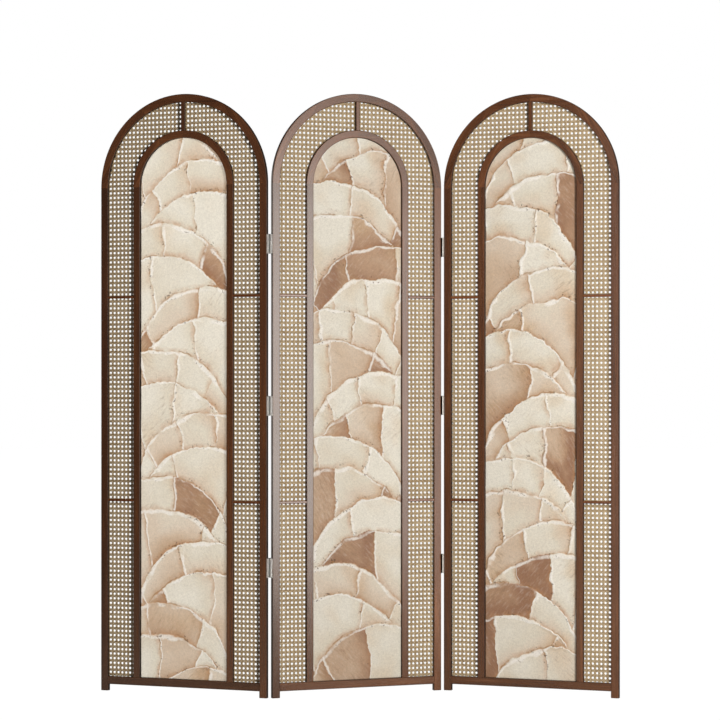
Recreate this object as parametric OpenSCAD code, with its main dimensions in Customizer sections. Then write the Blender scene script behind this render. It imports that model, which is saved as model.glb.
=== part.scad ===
// Folding screen of three arched panels that stand in a zigzag.
// Each panel is an arched wooden frame with a smaller arch inside it. Open cane webbing fills the border
// between the two, and a plaster-faced board fills the middle. Butt hinges join the panels.
// Row frame: +Z up, front faces -Y, +X to the right, origin on the floor at the centre of the footprint.
// Panel frame: x from the panel's left side, y from its front face to its back, z up from the floor.

/* [Panel] */
// Width of one panel across its frame
panel_w = 550; // [500:5:640]
// Height of one panel at the crown of its arch
panel_h = 1800; // [1600:10:2100]
// Angle that each panel is turned away from the line of the row
fold_angle = 22.5; // [8:0.5:40]

/* [Outer frame] */
// Width of the frame's front face
frame_face = 24; // [20:0.5:32]
// Thickness of every frame member, front to back
frame_depth = 14; // [13:0.5:22]
// Flat worked along the long edges of the wood
edge_ease = 1.2; // [0.5:0.1:2]
// Height of the bottom rail
rail_h = 24; // [20:0.5:40]
// Height of the feet below the bottom rail
foot_h = 20; // [10:1:60]

/* [Cane border] */
// Width of the webbing that shows between the two frames
border_w = 85; // [60:1:100]
// Thickness of the webbing
cane_t = 2.4; // [1.6:0.1:3]
// Depth of the webbing behind the frame's front face
cane_setback = 8.3; // [6:0.1:8.6]
// Depth of the grooves that hold the webbing and the board
groove_d = 5; // [3:0.25:6]
// Gap on each side of whatever sits in a groove
groove_gap = 0.3; // [0.2:0.05:0.5]
// Open meshes side by side across the border
mesh_columns = 2; // [1:1:3]
// Height of one open mesh, bar to bar
mesh_pitch = 70; // [50:1:100]
// Width of a bundle of strands between open meshes
strand_w = 12; // [8:0.5:16]

/* [Bars] */
// Width of the upright bar at the crown
crown_bar_w = 12.5; // [10:0.5:20]
// Height of a cross bar
cross_bar_h = 8; // [7.5:0.25:14]
// Height of the lower pair of cross bars, floor to centre line
cross_bar_low = 579; // [450:1:700]
// Height of the upper pair of cross bars, floor to centre line
cross_bar_high = 1193; // [950:1:1240]
// Depth of the grooves in the bars
bar_groove_d = 2.4; // [1.5:0.1:3]
// Gap between the upright bar's ends and the arches
bar_end_gap = 0.15; // [0.05:0.05:0.3]

/* [Inner frame] */
// Width of the inner frame's front face
inner_face = 22; // [20:0.5:30]

/* [Centre board] */
// Thickness of the board
board_t = 3.5; // [3:0.25:4]
// Depth of the board's front face behind the frame's front face
board_setback = 8.2; // [6:0.1:8.4]
// Thickness of the plaster coat where it is thin
plaster_t = 1.4; // [1:0.1:2]
// Height that the thick swells of plaster stand above the thin coat
swell_t = 0.6; // [0.3:0.1:1.2]
// Gap between the plaster and the frame round it
plaster_gap = 0.6; // [0.3:0.1:1.5]
// Radius of one swell of plaster
swell_r = 230; // [170:5:320]
// Rise from one swell to the next
swell_rise = 190; // [130:5:260]

/* [Dowels] */
// Radius of a dowel
dowel_r = 3; // [2:0.25:3.25]
// Length of a dowel
dowel_len = 30; // [20:1:36]
// Room for glue round a dowel
dowel_gap = 0.1; // [0.05:0.01:0.2]
// Room at each end of a dowel
dowel_end_gap = 0.5; // [0.2:0.1:1]
// Distance from the frame's outer side to the dowels that join the outer frame
dowel_in = 9.5; // [7:0.25:11]

/* [Hinges] */
// Height of a hinge
hinge_h = 57; // [50:1:76]
// Height of the lowest hinge's centre
hinge_low = 385; // [250:1:500]
// Height of the middle hinge's centre
hinge_mid = 865; // [700:1:1000]
// Height of the top hinge's centre
hinge_top = 1345; // [1150:1:1400]
// Gap between two panels when the screen is opened flat
hinge_gap = 4.2; // [3.8:0.1:6]
// Thickness of a hinge leaf
leaf_t = 1.8; // [1.2:0.1:1.8]
// Margin between a leaf and the face of the frame away from the knuckle
leaf_margin = 1.6; // [1.2:0.1:3]
// Radius of the knuckle
knuckle_r = 4; // [3.8:0.1:5]
// Radius of the hinge pin
pin_r = 2; // [1.6:0.1:2.2]
// Running clearance of the pin
pin_gap = 0.05; // [0.03:0.01:0.1]
// Gap between knuckles, and between a knuckle and the wood behind it
knuckle_gap = 0.3; // [0.2:0.05:0.5]
// Height of the cap on the pin
pin_cap_h = 1.2; // [0.8:0.1:2]

/* [Screws] */
// Screws in one leaf
screw_count = 3; // [2:1:4]
// Radius of a screw's shank
screw_r = 1.5; // [1.2:0.1:1.8]
// Radius of a screw's head
screw_head_r = 2.9; // [2.4:0.1:3.4]
// Height of a screw's cone head
screw_head_h = 1.3; // [0.9:0.1:1.4]
// Length of a screw
screw_len = 14; // [8:0.5:15]
// Gap between a screw and its hole
screw_gap = 0.06; // [0.03:0.01:0.1]
// Depth that a screw's head sits below the leaf
screw_sink = 0.1; // [0:0.05:0.2]

/* [Hidden] */
PANELS = ["left", "middle", "right"];
PANEL_PIECES = ["stile_left", "stile_right", "arch_left", "arch_right", "bottom_rail",
    "inner_stile_left", "inner_stile_right", "inner_arch_left", "inner_arch_right",
    "crown_bar", "cross_bars", "cane_left", "cane_right", "board", "plaster", "dowels"];
JUNCTIONS = ["left", "right"];
HINGE_PIECES = ["side_leaves", "centre_leaves", "pins", "side_screws", "centre_screws"];
NODES = concat(
    [for (p = PANELS) for (q = PANEL_PIECES) str(p, "_", q)],
    [for (j = JUNCTIONS) for (q = HINGE_PIECES) str(j, "_hinge_", q)]);
node = "all";

$fn = 96;
cut = 1;                                         // overrun of every cutting shape

// Places inside one panel
mid_x = panel_w / 2;
rail_top = foot_h + rail_h;
outer_r = panel_w / 2;
opening_r = outer_r - frame_face;                // inner side of the outer arch
inner_r = opening_r - border_w;                  // outer side of the inner arch
board_r = inner_r - inner_face;                  // inner side of the inner arch
spring_z = panel_h - outer_r;                    // where the arches spring from the stiles
crown_z = panel_h;
inner_x = mid_x - inner_r;                       // left side of the inner frame

// Cane webbing
cane_tuck = groove_d - groove_gap;               // part of the sheet inside a frame's groove
cane_bar_tuck = bar_groove_d - groove_gap;       // part of the sheet inside a bar's groove
mesh_w = border_w / mesh_columns;
mesh_margin = strand_w;                          // a mesh closer than this to the frame is left shut
TIER_LOW = [rail_top, cross_bar_low + cross_bar_h / 2, cross_bar_high + cross_bar_h / 2];
TIER_HIGH = [cross_bar_low - cross_bar_h / 2, cross_bar_high - cross_bar_h / 2, spring_z + opening_r];

// Hinges
HINGE_Z = [hinge_low, hinge_mid, hinge_top];
axis_out = hinge_gap / 2;                        // hinge axis, out from the frame's side
axis_off = knuckle_r + knuckle_gap;              // hinge axis, off from the frame's face
knuckle_pitch = hinge_h / 3;
screw_y = (leaf_margin + frame_depth) / 2;       // line of screws, from the face away from the knuckle

// Places of the panels in the row, worked out from the hinge axes
function turned(v, a) = [v.x * cos(a) - v.y * sin(a), v.x * sin(a) + v.y * cos(a)];
PANEL_TURN = [-fold_angle, fold_angle, -fold_angle];
left_axis = turned([-axis_out, frame_depth + axis_off], PANEL_TURN[1]);
right_axis = turned([panel_w + axis_out, -axis_off], PANEL_TURN[1]);
PANEL_AT = [
    left_axis - turned([panel_w + axis_out, frame_depth + axis_off], PANEL_TURN[0]),
    [0, 0],
    right_axis - turned([-axis_out, -axis_off], PANEL_TURN[2])];
EDGE_POINTS = [for (x = [0, panel_w]) for (y = [edge_ease, frame_depth - edge_ease]) [x, y]];
FACE_POINTS = [for (x = [edge_ease, panel_w - edge_ease]) for (y = [0, frame_depth]) [x, y]];
FOOTPRINT = [for (i = [0:2]) for (v = concat(EDGE_POINTS, FACE_POINTS))
    PANEL_AT[i] + turned(v, PANEL_TURN[i])];
ALL_X = [for (v = FOOTPRINT) v.x];
ALL_Y = [for (v = FOOTPRINT) v.y];
row_centre = [(min(ALL_X) + max(ALL_X)) / 2, (min(ALL_Y) + max(ALL_Y)) / 2];

// Dowels as [centre, axis], with "x" along the panel and "z" upright
outer_spring_x = [dowel_in, panel_w - dowel_in];
inner_spring_x = [inner_x + inner_face / 2, panel_w - inner_x - inner_face / 2];
DOWELS = concat(
    [for (x = outer_spring_x) [[x, frame_depth / 2, spring_z], "z"]],
    [for (x = inner_spring_x) for (z = [rail_top, spring_z]) [[x, frame_depth / 2, z], "z"]],
    [for (x = [frame_face, panel_w - frame_face]) [[x, frame_depth / 2, foot_h + rail_h / 2], "x"]],
    [[[mid_x, frame_depth / 2, spring_z + outer_r - dowel_in], "x"],
     [[mid_x, frame_depth / 2, spring_z + inner_r - inner_face / 2], "x"]]);

function shown(name) = node == "all" || node == name;

// ---- Shapes that several pieces share ----

// Section of a frame member, with its four long edges eased
module section(face) {
    e = edge_ease;
    d = frame_depth;
    polygon([[e, 0], [face - e, 0], [face, e], [face, d - e], [face - e, d], [e, d], [0, d - e], [0, e]]);
}

// Section of the groove for the webbing, open towards +x at x = 0
module cane_groove(depth) {
    translate([-depth, cane_setback - groove_gap]) square([depth + cut, cane_t + 2 * groove_gap]);
}

// Section of the groove for the board, open towards +x at x = 0
module board_groove() {
    translate([-groove_d, board_setback - groove_gap]) square([groove_d + cut, board_t + 2 * groove_gap]);
}

// Section of the outer frame, outer side at x = 0
module outer_section() {
    difference() {
        section(frame_face);
        translate([frame_face, 0]) cane_groove(groove_d);
    }
}

// Section of the inner frame, cane side at x = 0
module inner_section() {
    difference() {
        section(inner_face);
        mirror([1, 0]) cane_groove(groove_d);
        translate([inner_face, 0]) board_groove();
    }
}

// Puts a shape drawn for the panel's left half into its right half
module right_half() {
    translate([panel_w, 0, 0]) mirror([1, 0, 0]) children();
}

// Plate cut to the outline in children(), drawn in x and z, with its front face at depth y
module plate(y, thickness) {
    translate([0, y + thickness, 0]) rotate([90, 0, 0]) linear_extrude(thickness) children();
}

// Arch-topped outline of half-width r that starts at height low
module arched(r, low) {
    translate([mid_x - r, low]) square([2 * r, spring_z - low]);
    translate([mid_x, spring_z]) circle(r);
}

// Quarter of an arch on the panel's left half, from a section whose x runs in from the radius r
module quarter_arch(r) {
    translate([mid_x, 0, spring_z]) rotate([90, -90, 0]) mirror([0, 1, 0])
        rotate_extrude(angle = 90) translate([r, 0]) mirror([1, 0]) mirror([0, 1]) children();
}

// Takes the dowel holes out of the piece in children()
module drilled() {
    difference() {
        children();
        dowel_rods(dowel_r + dowel_gap, dowel_len + 2 * dowel_end_gap);
    }
}

module dowel_rods(r, len) {
    for (d = DOWELS)
        translate(d[0]) rotate(d[1] == "x" ? [0, 90, 0] : [0, 0, 0])
            cylinder(h = len, r = r, center = true);
}

// Moves children() from the frame of one hinged side of a panel into the panel frame. In it x runs out
// of the wood from 0, and y runs from the face away from the knuckle to the face beside it.
module hinged_side(side, knuckle_at_back) {
    translate([side == "right" ? panel_w : 0, knuckle_at_back ? 0 : frame_depth, 0])
        mirror([side == "right" ? 0 : 1, 0, 0])
            mirror([0, knuckle_at_back ? 0 : 1, 0]) children();
}

module at_screws() {
    for (z = HINGE_Z)
        for (i = [0:screw_count - 1])
            translate([leaf_t, screw_y, z + hinge_h * ((i + 0.5) / screw_count - 0.5)])
                rotate([0, -90, 0]) children();
}

// Body of a screw from its head's flat face at z = 0 inwards, grown by gap all round
module screw_body(gap) {
    translate([0, 0, screw_sink]) rotate_extrude() polygon([
        [0, 0], [screw_head_r + gap, 0], [screw_r + gap, screw_head_h],
        [screw_r + gap, screw_len - 2 * screw_r], [gap, screw_len + gap], [0, screw_len + gap]]);
}

// ---- Outer frame ----

// Which hinged sides the stile on one side of a panel carries: [] or [knuckle at the back]
function hinge_of(panel, side) =
    panel == "left" && side == "right" || panel == "middle" && side == "left" ? [true]
    : panel == "middle" && side == "right" || panel == "right" && side == "left" ? [false]
    : [];

module outer_stile(panel, side) {
    color("#5a3b28")
        difference() {
            drilled() {
                if (side == "left") plain_stile();
                if (side == "right") right_half() plain_stile();
            }
            for (back = hinge_of(panel, side))
                hinged_side(side, back) at_screws() screw_body(screw_gap);
        }
}

// Left stile without its holes. Its groove starts at the bottom rail, and its foot is eased.
module plain_stile() {
    difference() {
        linear_extrude(spring_z) section(frame_face);
        translate([frame_face, 0, rail_top - groove_d]) linear_extrude(spring_z) cane_groove(groove_d);
        for (x = [0, frame_face])
            translate([x, frame_depth / 2, 0]) rotate([0, 45, 0])
                cube([edge_ease * sqrt(2), frame_depth + cut, edge_ease * sqrt(2)], center = true);
        for (y = [0, frame_depth])
            translate([frame_face / 2, y, 0]) rotate([45, 0, 0])
                cube([frame_face + cut, edge_ease * sqrt(2), edge_ease * sqrt(2)], center = true);
    }
}

module outer_arch() {
    color("#5f402c") drilled() quarter_arch(outer_r) outer_section();
}

module bottom_rail() {
    color("#54371f")
        drilled() difference() {
            translate([frame_face, 0, rail_top]) rotate([0, 90, 0])
                linear_extrude(panel_w - 2 * frame_face) section(rail_h);
            for (low = [frame_face, panel_w - inner_x - groove_d])
                rail_groove(low, low + border_w + groove_d) cane_groove(groove_d);
            rail_groove(mid_x - board_r - groove_d, mid_x + board_r + groove_d) board_groove();
        }
}

// Groove along the top of the bottom rail from x = low to x = high. Under the inner stiles it takes the
// part of each sheet that lies inside their grooves.
module rail_groove(low, high) {
    translate([low, 0, rail_top]) rotate([0, 90, 0])
        linear_extrude(high - low) mirror([1, 0]) children();
}

// ---- Inner frame ----

module inner_stile() {
    color("#5a3b28")
        drilled() translate([inner_x, 0, rail_top]) linear_extrude(spring_z - rail_top) inner_section();
}

module inner_arch() {
    color("#5f402c") drilled() quarter_arch(inner_r) inner_section();
}

// ---- Bars across the border ----

// Upright bar between the crowns of the two arches, grooved down both sides
module crown_bar() {
    color("#4c3222")
        difference() {
            translate([mid_x - crown_bar_w / 2, 0, spring_z]) linear_extrude(opening_r) difference() {
                section(crown_bar_w);
                mirror([1, 0]) cane_groove(bar_groove_d);
                translate([crown_bar_w, 0]) cane_groove(bar_groove_d);
            }
            plate(-cut, frame_depth + 2 * cut) difference() {
                translate([0, spring_z]) square([panel_w, outer_r]);
                translate([mid_x, spring_z]) circle(opening_r - bar_end_gap);
            }
            plate(-cut, frame_depth + 2 * cut)
                translate([mid_x, spring_z]) circle(inner_r + bar_end_gap);
        }
}

// Four cross bars, two each side, grooved above and below
module cross_bars() {
    color("#4c3222") {
        left_cross_bars();
        right_half() left_cross_bars();
    }
}

module left_cross_bars() {
    for (z = [cross_bar_low, cross_bar_high])
        translate([frame_face, 0, z + cross_bar_h / 2]) rotate([0, 90, 0])
            linear_extrude(border_w) difference() {
                section(cross_bar_h);
                mirror([1, 0]) cane_groove(bar_groove_d);
                translate([cross_bar_h, 0]) cane_groove(bar_groove_d);
            }
}

// ---- Cane webbing ----

// Outline of one sheet on the left side. It grows by tuck into the frames and by bar_tuck into the bars.
module cane_outline(tier, tuck, bar_tuck) {
    low = TIER_LOW[tier] - (tier == 0 ? tuck : bar_tuck);
    high = TIER_HIGH[tier] + (tier == 2 ? tuck : bar_tuck);
    intersection() {
        difference() {
            arched(opening_r + tuck, rail_top - tuck);
            arched(inner_r - tuck, 0);
        }
        translate([0, low]) square([mid_x - crown_bar_w / 2 + bar_tuck, high - low]);
    }
}

// Whether a mesh centred at x, z lies in the open part of the border
function in_border(x, z) = z <= spring_z
    ? x > frame_face + mesh_margin && x < inner_x - mesh_margin
    : norm([x - mid_x, z - spring_z]) > inner_r + mesh_margin
        && norm([x - mid_x, z - spring_z]) < opening_r - mesh_margin
        && x < mid_x - crown_bar_w / 2 - mesh_margin;

module cane_meshes(tier) {
    rows = floor((TIER_HIGH[tier] - TIER_LOW[tier]) / mesh_pitch);
    row_h = (TIER_HIGH[tier] - TIER_LOW[tier]) / rows;
    columns = floor((mid_x - frame_face) / mesh_w);
    intersection() {
        cane_outline(tier, -strand_w / 2, -strand_w / 2);
        for (i = [0:columns], j = [0:rows - 1]) {
            x = frame_face + (i + 0.5) * mesh_w;
            z = TIER_LOW[tier] + (j + 0.5) * row_h;
            if (in_border(x, z))
                translate([x, z]) square([mesh_w - strand_w, row_h - strand_w], center = true);
        }
    }
}

// Three sheets of webbing, one between each pair of bars
module cane() {
    color("#b9a17c")
        for (tier = [0:2])
            plate(cane_setback, cane_t) difference() {
                cane_outline(tier, cane_tuck, cane_bar_tuck);
                cane_meshes(tier);
            }
}

// ---- Centre board ----

module board() {
    tuck = groove_d - groove_gap;
    color("#c8ab84") plate(board_setback, board_t) arched(board_r + tuck, rail_top - tuck);
}

// Plaster coat on the board: a thin coat with thick swells that rise up it from alternate sides. Each swell
// laps over the one above it, and each panel starts its swells at another height.
module plaster(panel) {
    start = rail_top + swell_rise * [0.2, 0.85, 0.5][search([panel], PANELS)[0]];
    count = ceil((spring_z + board_r - start) / swell_rise);
    color("#e6d8c6") {
        plate(board_setback - plaster_t, plaster_t) arched(board_r - plaster_gap, rail_top + plaster_gap);
        for (k = [0:2:count])
            plate(board_setback - plaster_t - swell_t, swell_t) intersection() {
                arched(board_r - plaster_gap, rail_top + plaster_gap);
                difference() {
                    swell(k, start);
                    swell(k - 1, start);
                }
            }
    }
}

module swell(k, start) {
    side = k % 2 == 0 ? 1 : -1;
    translate([mid_x + side * board_r / 2, start + k * swell_rise - swell_r]) circle(swell_r);
}

// ---- Dowels ----

module dowels() {
    color("#d9bd8f") dowel_rods(dowel_r, dowel_len);
}

// ---- Hinges, in the frame of a hinged side ----

// Leaves of the three hinges on one side. Knuckles are numbered from the bottom, 0 to 2.
module leaves(knuckles) {
    swing_r = knuckle_r + knuckle_gap;
    plate_end = frame_depth + axis_off - swing_r;
    color("#b4b6b8")
        for (z = HINGE_Z)
            translate([0, 0, z - hinge_h / 2]) difference() {
                union() {
                    translate([0, leaf_margin, 0]) cube([leaf_t, plate_end - leaf_margin, hinge_h]);
                    for (k = knuckles)
                        translate([0, 0, k * knuckle_pitch + knuckle_gap / 2]) {
                            translate([0, plate_end - cut, 0])
                                cube([leaf_t, axis_off + cut, knuckle_pitch - knuckle_gap]);
                            translate([axis_out, frame_depth + axis_off, 0])
                                cylinder(h = knuckle_pitch - knuckle_gap, r = knuckle_r);
                        }
                }
                translate([axis_out, frame_depth + axis_off, -cut])
                    cylinder(h = hinge_h + 2 * cut, r = pin_r + pin_gap);
                translate([0, 0, hinge_h / 2 - z]) at_screws() screw_body(screw_gap);
            }
}

// Pins with a shallow cap that rests on the top knuckle
module pins() {
    cap_r = knuckle_r - knuckle_gap;
    color("#8f9294")
        for (z = HINGE_Z)
            translate([axis_out, frame_depth + axis_off, z - hinge_h / 2]) rotate_extrude() polygon([
                [0, knuckle_gap], [pin_r, knuckle_gap], [pin_r, hinge_h], [cap_r, hinge_h],
                [cap_r, hinge_h + pin_cap_h / 2], [cap_r - pin_cap_h / 2, hinge_h + pin_cap_h],
                [0, hinge_h + pin_cap_h]]);
}

module screws() {
    color("#9a9c9e") at_screws() screw_body(0);
}

// ---- Assembly ----

module in_row(i) {
    translate([PANEL_AT[i].x - row_centre.x, PANEL_AT[i].y - row_centre.y, 0])
        rotate([0, 0, PANEL_TURN[i]]) children();
}

for (i = [0:2])
    in_row(i) {
        p = PANELS[i];
        if (shown(str(p, "_stile_left"))) outer_stile(p, "left");
        if (shown(str(p, "_stile_right"))) outer_stile(p, "right");
        if (shown(str(p, "_arch_left"))) outer_arch();
        if (shown(str(p, "_arch_right"))) right_half() outer_arch();
        if (shown(str(p, "_bottom_rail"))) bottom_rail();
        if (shown(str(p, "_inner_stile_left"))) inner_stile();
        if (shown(str(p, "_inner_stile_right"))) right_half() inner_stile();
        if (shown(str(p, "_inner_arch_left"))) inner_arch();
        if (shown(str(p, "_inner_arch_right"))) right_half() inner_arch();
        if (shown(str(p, "_crown_bar"))) crown_bar();
        if (shown(str(p, "_cross_bars"))) cross_bars();
        if (shown(str(p, "_cane_left"))) cane();
        if (shown(str(p, "_cane_right"))) right_half() cane();
        if (shown(str(p, "_board"))) board();
        if (shown(str(p, "_plaster"))) plaster(p);
        if (shown(str(p, "_dowels"))) dowels();
    }

// The left junction's knuckles are at the back, the right junction's at the front
for (j = JUNCTIONS) {
    left = j == "left";
    side_panel = left ? 0 : 2;
    side = left ? "right" : "left";
    centre_side = left ? "left" : "right";
    if (shown(str(j, "_hinge_side_leaves"))) in_row(side_panel) hinged_side(side, left) leaves([1]);
    if (shown(str(j, "_hinge_side_screws"))) in_row(side_panel) hinged_side(side, left) screws();
    if (shown(str(j, "_hinge_centre_leaves"))) in_row(1) hinged_side(centre_side, left) leaves([0, 2]);
    if (shown(str(j, "_hinge_centre_screws"))) in_row(1) hinged_side(centre_side, left) screws();
    if (shown(str(j, "_hinge_pins"))) in_row(1) hinged_side(centre_side, left) pins();
}
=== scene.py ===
"""Folding screen of three arched panels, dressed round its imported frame.

It makes the finishes of the walnut frames, the open cane webbing, the knife-laid plaster, the hinges with
their screws, and the studio that the screen stands in. Every length is in metres. Panel frame: x from a
panel's left side, y from its front face to its back, z up from the floor.
"""

import sys
import logging
import math
from dataclasses import dataclass, fields
from enum import Enum
from functools import cached_property
from typing import Callable, Iterable, Sequence, Union

import bmesh
import bpy
import numpy as np
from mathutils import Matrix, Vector


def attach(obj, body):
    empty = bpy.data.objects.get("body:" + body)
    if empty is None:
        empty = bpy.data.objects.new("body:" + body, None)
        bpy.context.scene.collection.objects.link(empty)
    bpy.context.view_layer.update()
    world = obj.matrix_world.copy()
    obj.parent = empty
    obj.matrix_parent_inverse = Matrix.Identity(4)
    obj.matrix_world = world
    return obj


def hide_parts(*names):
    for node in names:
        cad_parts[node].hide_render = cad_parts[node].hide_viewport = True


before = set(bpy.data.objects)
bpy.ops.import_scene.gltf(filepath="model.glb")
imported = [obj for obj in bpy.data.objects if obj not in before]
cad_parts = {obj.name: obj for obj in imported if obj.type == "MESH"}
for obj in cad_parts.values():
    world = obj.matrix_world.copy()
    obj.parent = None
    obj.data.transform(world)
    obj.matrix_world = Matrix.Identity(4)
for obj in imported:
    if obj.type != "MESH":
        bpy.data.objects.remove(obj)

LOG = logging.getLogger("screen")
MM = 0.001
PANELS = ("left", "middle", "right")
JUNCTIONS = SIDES = ("left", "right")

WEBBINGS = tuple(f"{panel}_webbing_{side}" for panel in PANELS for side in SIDES)
COATS = tuple(f"{panel}_plaster_coat" for panel in PANELS)
SIDE_PIECES = tuple(name for name in (*WEBBINGS, "right_plaster_coat") if not name.startswith("middle"))

Colour = tuple[float, float, float, float]
Number = Union[float, "Wire"]


def tint(code: str) -> Colour:
    """Turns a colour written as #rrggbb into the linear colour that Blender works in.

    Args:
        code: the colour as it looks on a screen.

    Returns:
        Red, green, blue and an alpha of 1.
    """
    channels = [int(code[i:i + 2], 16) / 255 for i in (1, 3, 5)]
    linear = [c / 12.92 if c <= 0.04045 else ((c + 0.055) / 1.055) ** 2.4 for c in channels]
    return (linear[0], linear[1], linear[2], 1.0)


# ---- Node trees ----


def math_method(operation: str, swapped: bool = False) -> Callable[..., "Wire"]:
    """Makes a method of Wire that adds one kind of Math node.

    Args:
        operation: Blender's name of the operation.
        swapped: whether the other value comes first.

    Returns:
        The method.
    """
    def method(self: "Wire", other: Number = 0.0) -> "Wire":
        """Adds the node and returns its result."""
        return self.tree.math(operation, *((other, self) if swapped else (self, other)))
    return method


class Wire:
    """One output of a node, with arithmetic that adds the nodes for it."""

    __add__ = __radd__ = math_method("ADD")
    __sub__, __rsub__ = math_method("SUBTRACT"), math_method("SUBTRACT", swapped=True)
    __mul__ = __rmul__ = math_method("MULTIPLY")
    __truediv__ = math_method("DIVIDE")
    __lt__, __gt__ = math_method("LESS_THAN"), math_method("GREATER_THAN")
    least, most = math_method("MINIMUM"), math_method("MAXIMUM")
    floor, size = math_method("FLOOR"), math_method("ABSOLUTE")
    sine, cosine = math_method("SINE"), math_method("COSINE")

    def __init__(self, tree: "Tree", socket: bpy.types.NodeSocket) -> None:
        """Holds the socket and the tree that it is in."""
        self.tree = tree
        self.socket = socket

    def root(self) -> "Wire":
        """Square root, of 0 where the value is negative."""
        return self.tree.math("SQRT", self.most(0.0))

    def ease(self, low: Number, high: Number) -> "Wire":
        """Rises smoothly from 0 at low to 1 at high."""
        return self.tree.wire("ShaderNodeMapRange", {"Value": self, "From Min": low, "From Max": high},
                              interpolation_type="SMOOTHSTEP")

    def either(self, if_zero: Number, if_one: Number) -> "Wire":
        """The first where this is 0, the second where it is 1, and a blend between."""
        return self.tree.wire("ShaderNodeMix", {0: self, 2: if_zero, 3: if_one}, data_type="FLOAT")


@dataclass
class Tree:
    """A node tree under construction, with short calls for what the trees here use most.

    An underscore in the name of a socket that is given as a keyword stands for a space.
    """

    tree: bpy.types.NodeTree
    source: Union[bpy.types.Node, None] = None
    sink: Union[bpy.types.Node, None] = None
    material: Union[bpy.types.Material, None] = None

    @classmethod
    def group(cls, name: str, kind: str, inputs: Sequence, outputs: Sequence) -> "Tree":
        """Makes a node group with named sockets.

        Args:
            name: name of the group.
            kind: ShaderNodeTree or GeometryNodeTree.
            inputs: (name, type, default) of each input, or the name alone for a Float of 0.
            outputs: (name, type) of each output, or the name alone for a Float.

        Returns:
            The new tree, with its Group Input and Group Output nodes in place.
        """
        tree = bpy.data.node_groups.new(name, kind)
        for entry in inputs:
            label, form, default = (entry, "Float", 0.0) if isinstance(entry, str) else entry
            socket = tree.interface.new_socket(name=label, in_out="INPUT", socket_type="NodeSocket" + form)
            if default is not None:
                socket.default_value = default
        for entry in outputs:
            label, form = (entry, "Float") if isinstance(entry, str) else entry
            tree.interface.new_socket(name=label, in_out="OUTPUT", socket_type="NodeSocket" + form)
        return cls(tree, tree.nodes.new("NodeGroupInput"), tree.nodes.new("NodeGroupOutput"))

    def given(self, name: str) -> Wire:
        """The group's input of that name."""
        return Wire(self, self.source.outputs[name])

    def givens(self, *names: str) -> list[Wire]:
        """The group's inputs of those names."""
        return [self.given(name) for name in names]

    def add(self, kind: str, inputs: Union[dict, None] = None, **settings: object) -> bpy.types.Node:
        """Adds a node.

        Args:
            kind: Blender's name of the node type.
            inputs: values, wires or nodes for its inputs, by name or by number.
            settings: the node's own properties.

        Returns:
            The node.
        """
        node = self.tree.nodes.new(kind)
        for name, value in settings.items():
            setattr(node, name, value)
        for name, value in (inputs or {}).items():
            self.feed(node.inputs[name], value)
        return node

    def feed(self, socket: bpy.types.NodeSocket, value: object) -> None:
        """Links a wire or a node's first output to an input, or sets the input's own value."""
        if isinstance(value, (Wire, bpy.types.Node)):
            self.tree.links.new(value.socket if isinstance(value, Wire) else value.outputs[0], socket)
        else:
            socket.default_value = value

    def fill(self, node: bpy.types.Node, **values: object) -> None:
        """Feeds a node's inputs by name."""
        for name, value in values.items():
            self.feed(node.inputs[name.replace("_", " ")], value)

    def give(self, **values: Number) -> None:
        """Feeds the group's outputs."""
        self.fill(self.sink, **values)

    def use(self, group: "Tree", **inputs: Number) -> bpy.types.Node:
        """Places a group."""
        shader = self.tree.bl_idname == "ShaderNodeTree"
        node = self.add("ShaderNodeGroup" if shader else "GeometryNodeGroup", node_tree=group.tree)
        self.fill(node, **inputs)
        return node

    def out(self, node: bpy.types.Node, name: Union[str, int] = 0) -> Wire:
        """An output of a node as a wire."""
        return Wire(self, node.outputs[name])

    def wire(self, kind: str, inputs: Union[dict, None] = None, output: Union[str, int] = 0,
             **settings: object) -> Wire:
        """Adds a node and returns one of its outputs."""
        return self.out(self.add(kind, inputs, **settings), output)

    def math(self, operation: str, a: Number, b: Number = 0.0) -> Wire:
        """Adds a Math node and returns its result."""
        return self.wire("ShaderNodeMath", {0: a, 1: b}, operation=operation)

    def angle(self, rise: Number, run: Number) -> Wire:
        """Angle of a slope, from its rise and run."""
        return self.math("ARCTAN2", rise, run)

    def join(self, x: Number, y: Number, z: Number) -> Wire:
        """A vector from its three parts."""
        return self.wire("ShaderNodeCombineXYZ", {0: x, 1: y, 2: z})

    def split(self, vector: Wire) -> tuple[Wire, Wire, Wire]:
        """The three parts of a vector."""
        node = self.add("ShaderNodeSeparateXYZ", {0: vector})
        return self.out(node, 0), self.out(node, 1), self.out(node, 2)

    def noise(self, where: Wire, scale: Number, detail: float = 2.0, rough: float = 0.5,
              distortion: float = 0.0) -> Wire:
        """Smooth noise from 0 to 1 at a point."""
        return self.wire("ShaderNodeTexNoise", {"Vector": where, "Scale": scale, "Detail": detail,
                                                "Roughness": rough, "Distortion": distortion})

    def chance(self, number: Number) -> Wire:
        """A fixed random value from 0 to 1 for each whole number."""
        return self.wire("ShaderNodeTexWhiteNoise", {"W": number}, noise_dimensions="1D")

    def blend(self, factor: Number, a: object, b: object, how: str = "MIX") -> Wire:
        """Mixes two colours."""
        return self.wire("ShaderNodeMix", {0: factor, 6: a, 7: b}, 2, data_type="RGBA", blend_type=how)

    def shaded(self, colour: Wire, share: Wire) -> Wire:
        """A colour made lighter or darker by a value."""
        return self.blend(1.0, colour, self.join(share, share, share), "MULTIPLY")

    def ramp(self, factor: Wire, stops: Sequence[tuple[float, Colour]]) -> Wire:
        """Runs a value through a row of colours, each given with its place from 0 to 1."""
        node = self.add("ShaderNodeValToRGB", {0: factor})
        elements = node.color_ramp.elements
        elements[0].position, elements[0].color = stops[0]
        elements[1].position, elements[1].color = stops[-1]
        for place, colour in stops[1:-1]:
            elements.new(place).color = colour
        return self.out(node)

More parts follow.
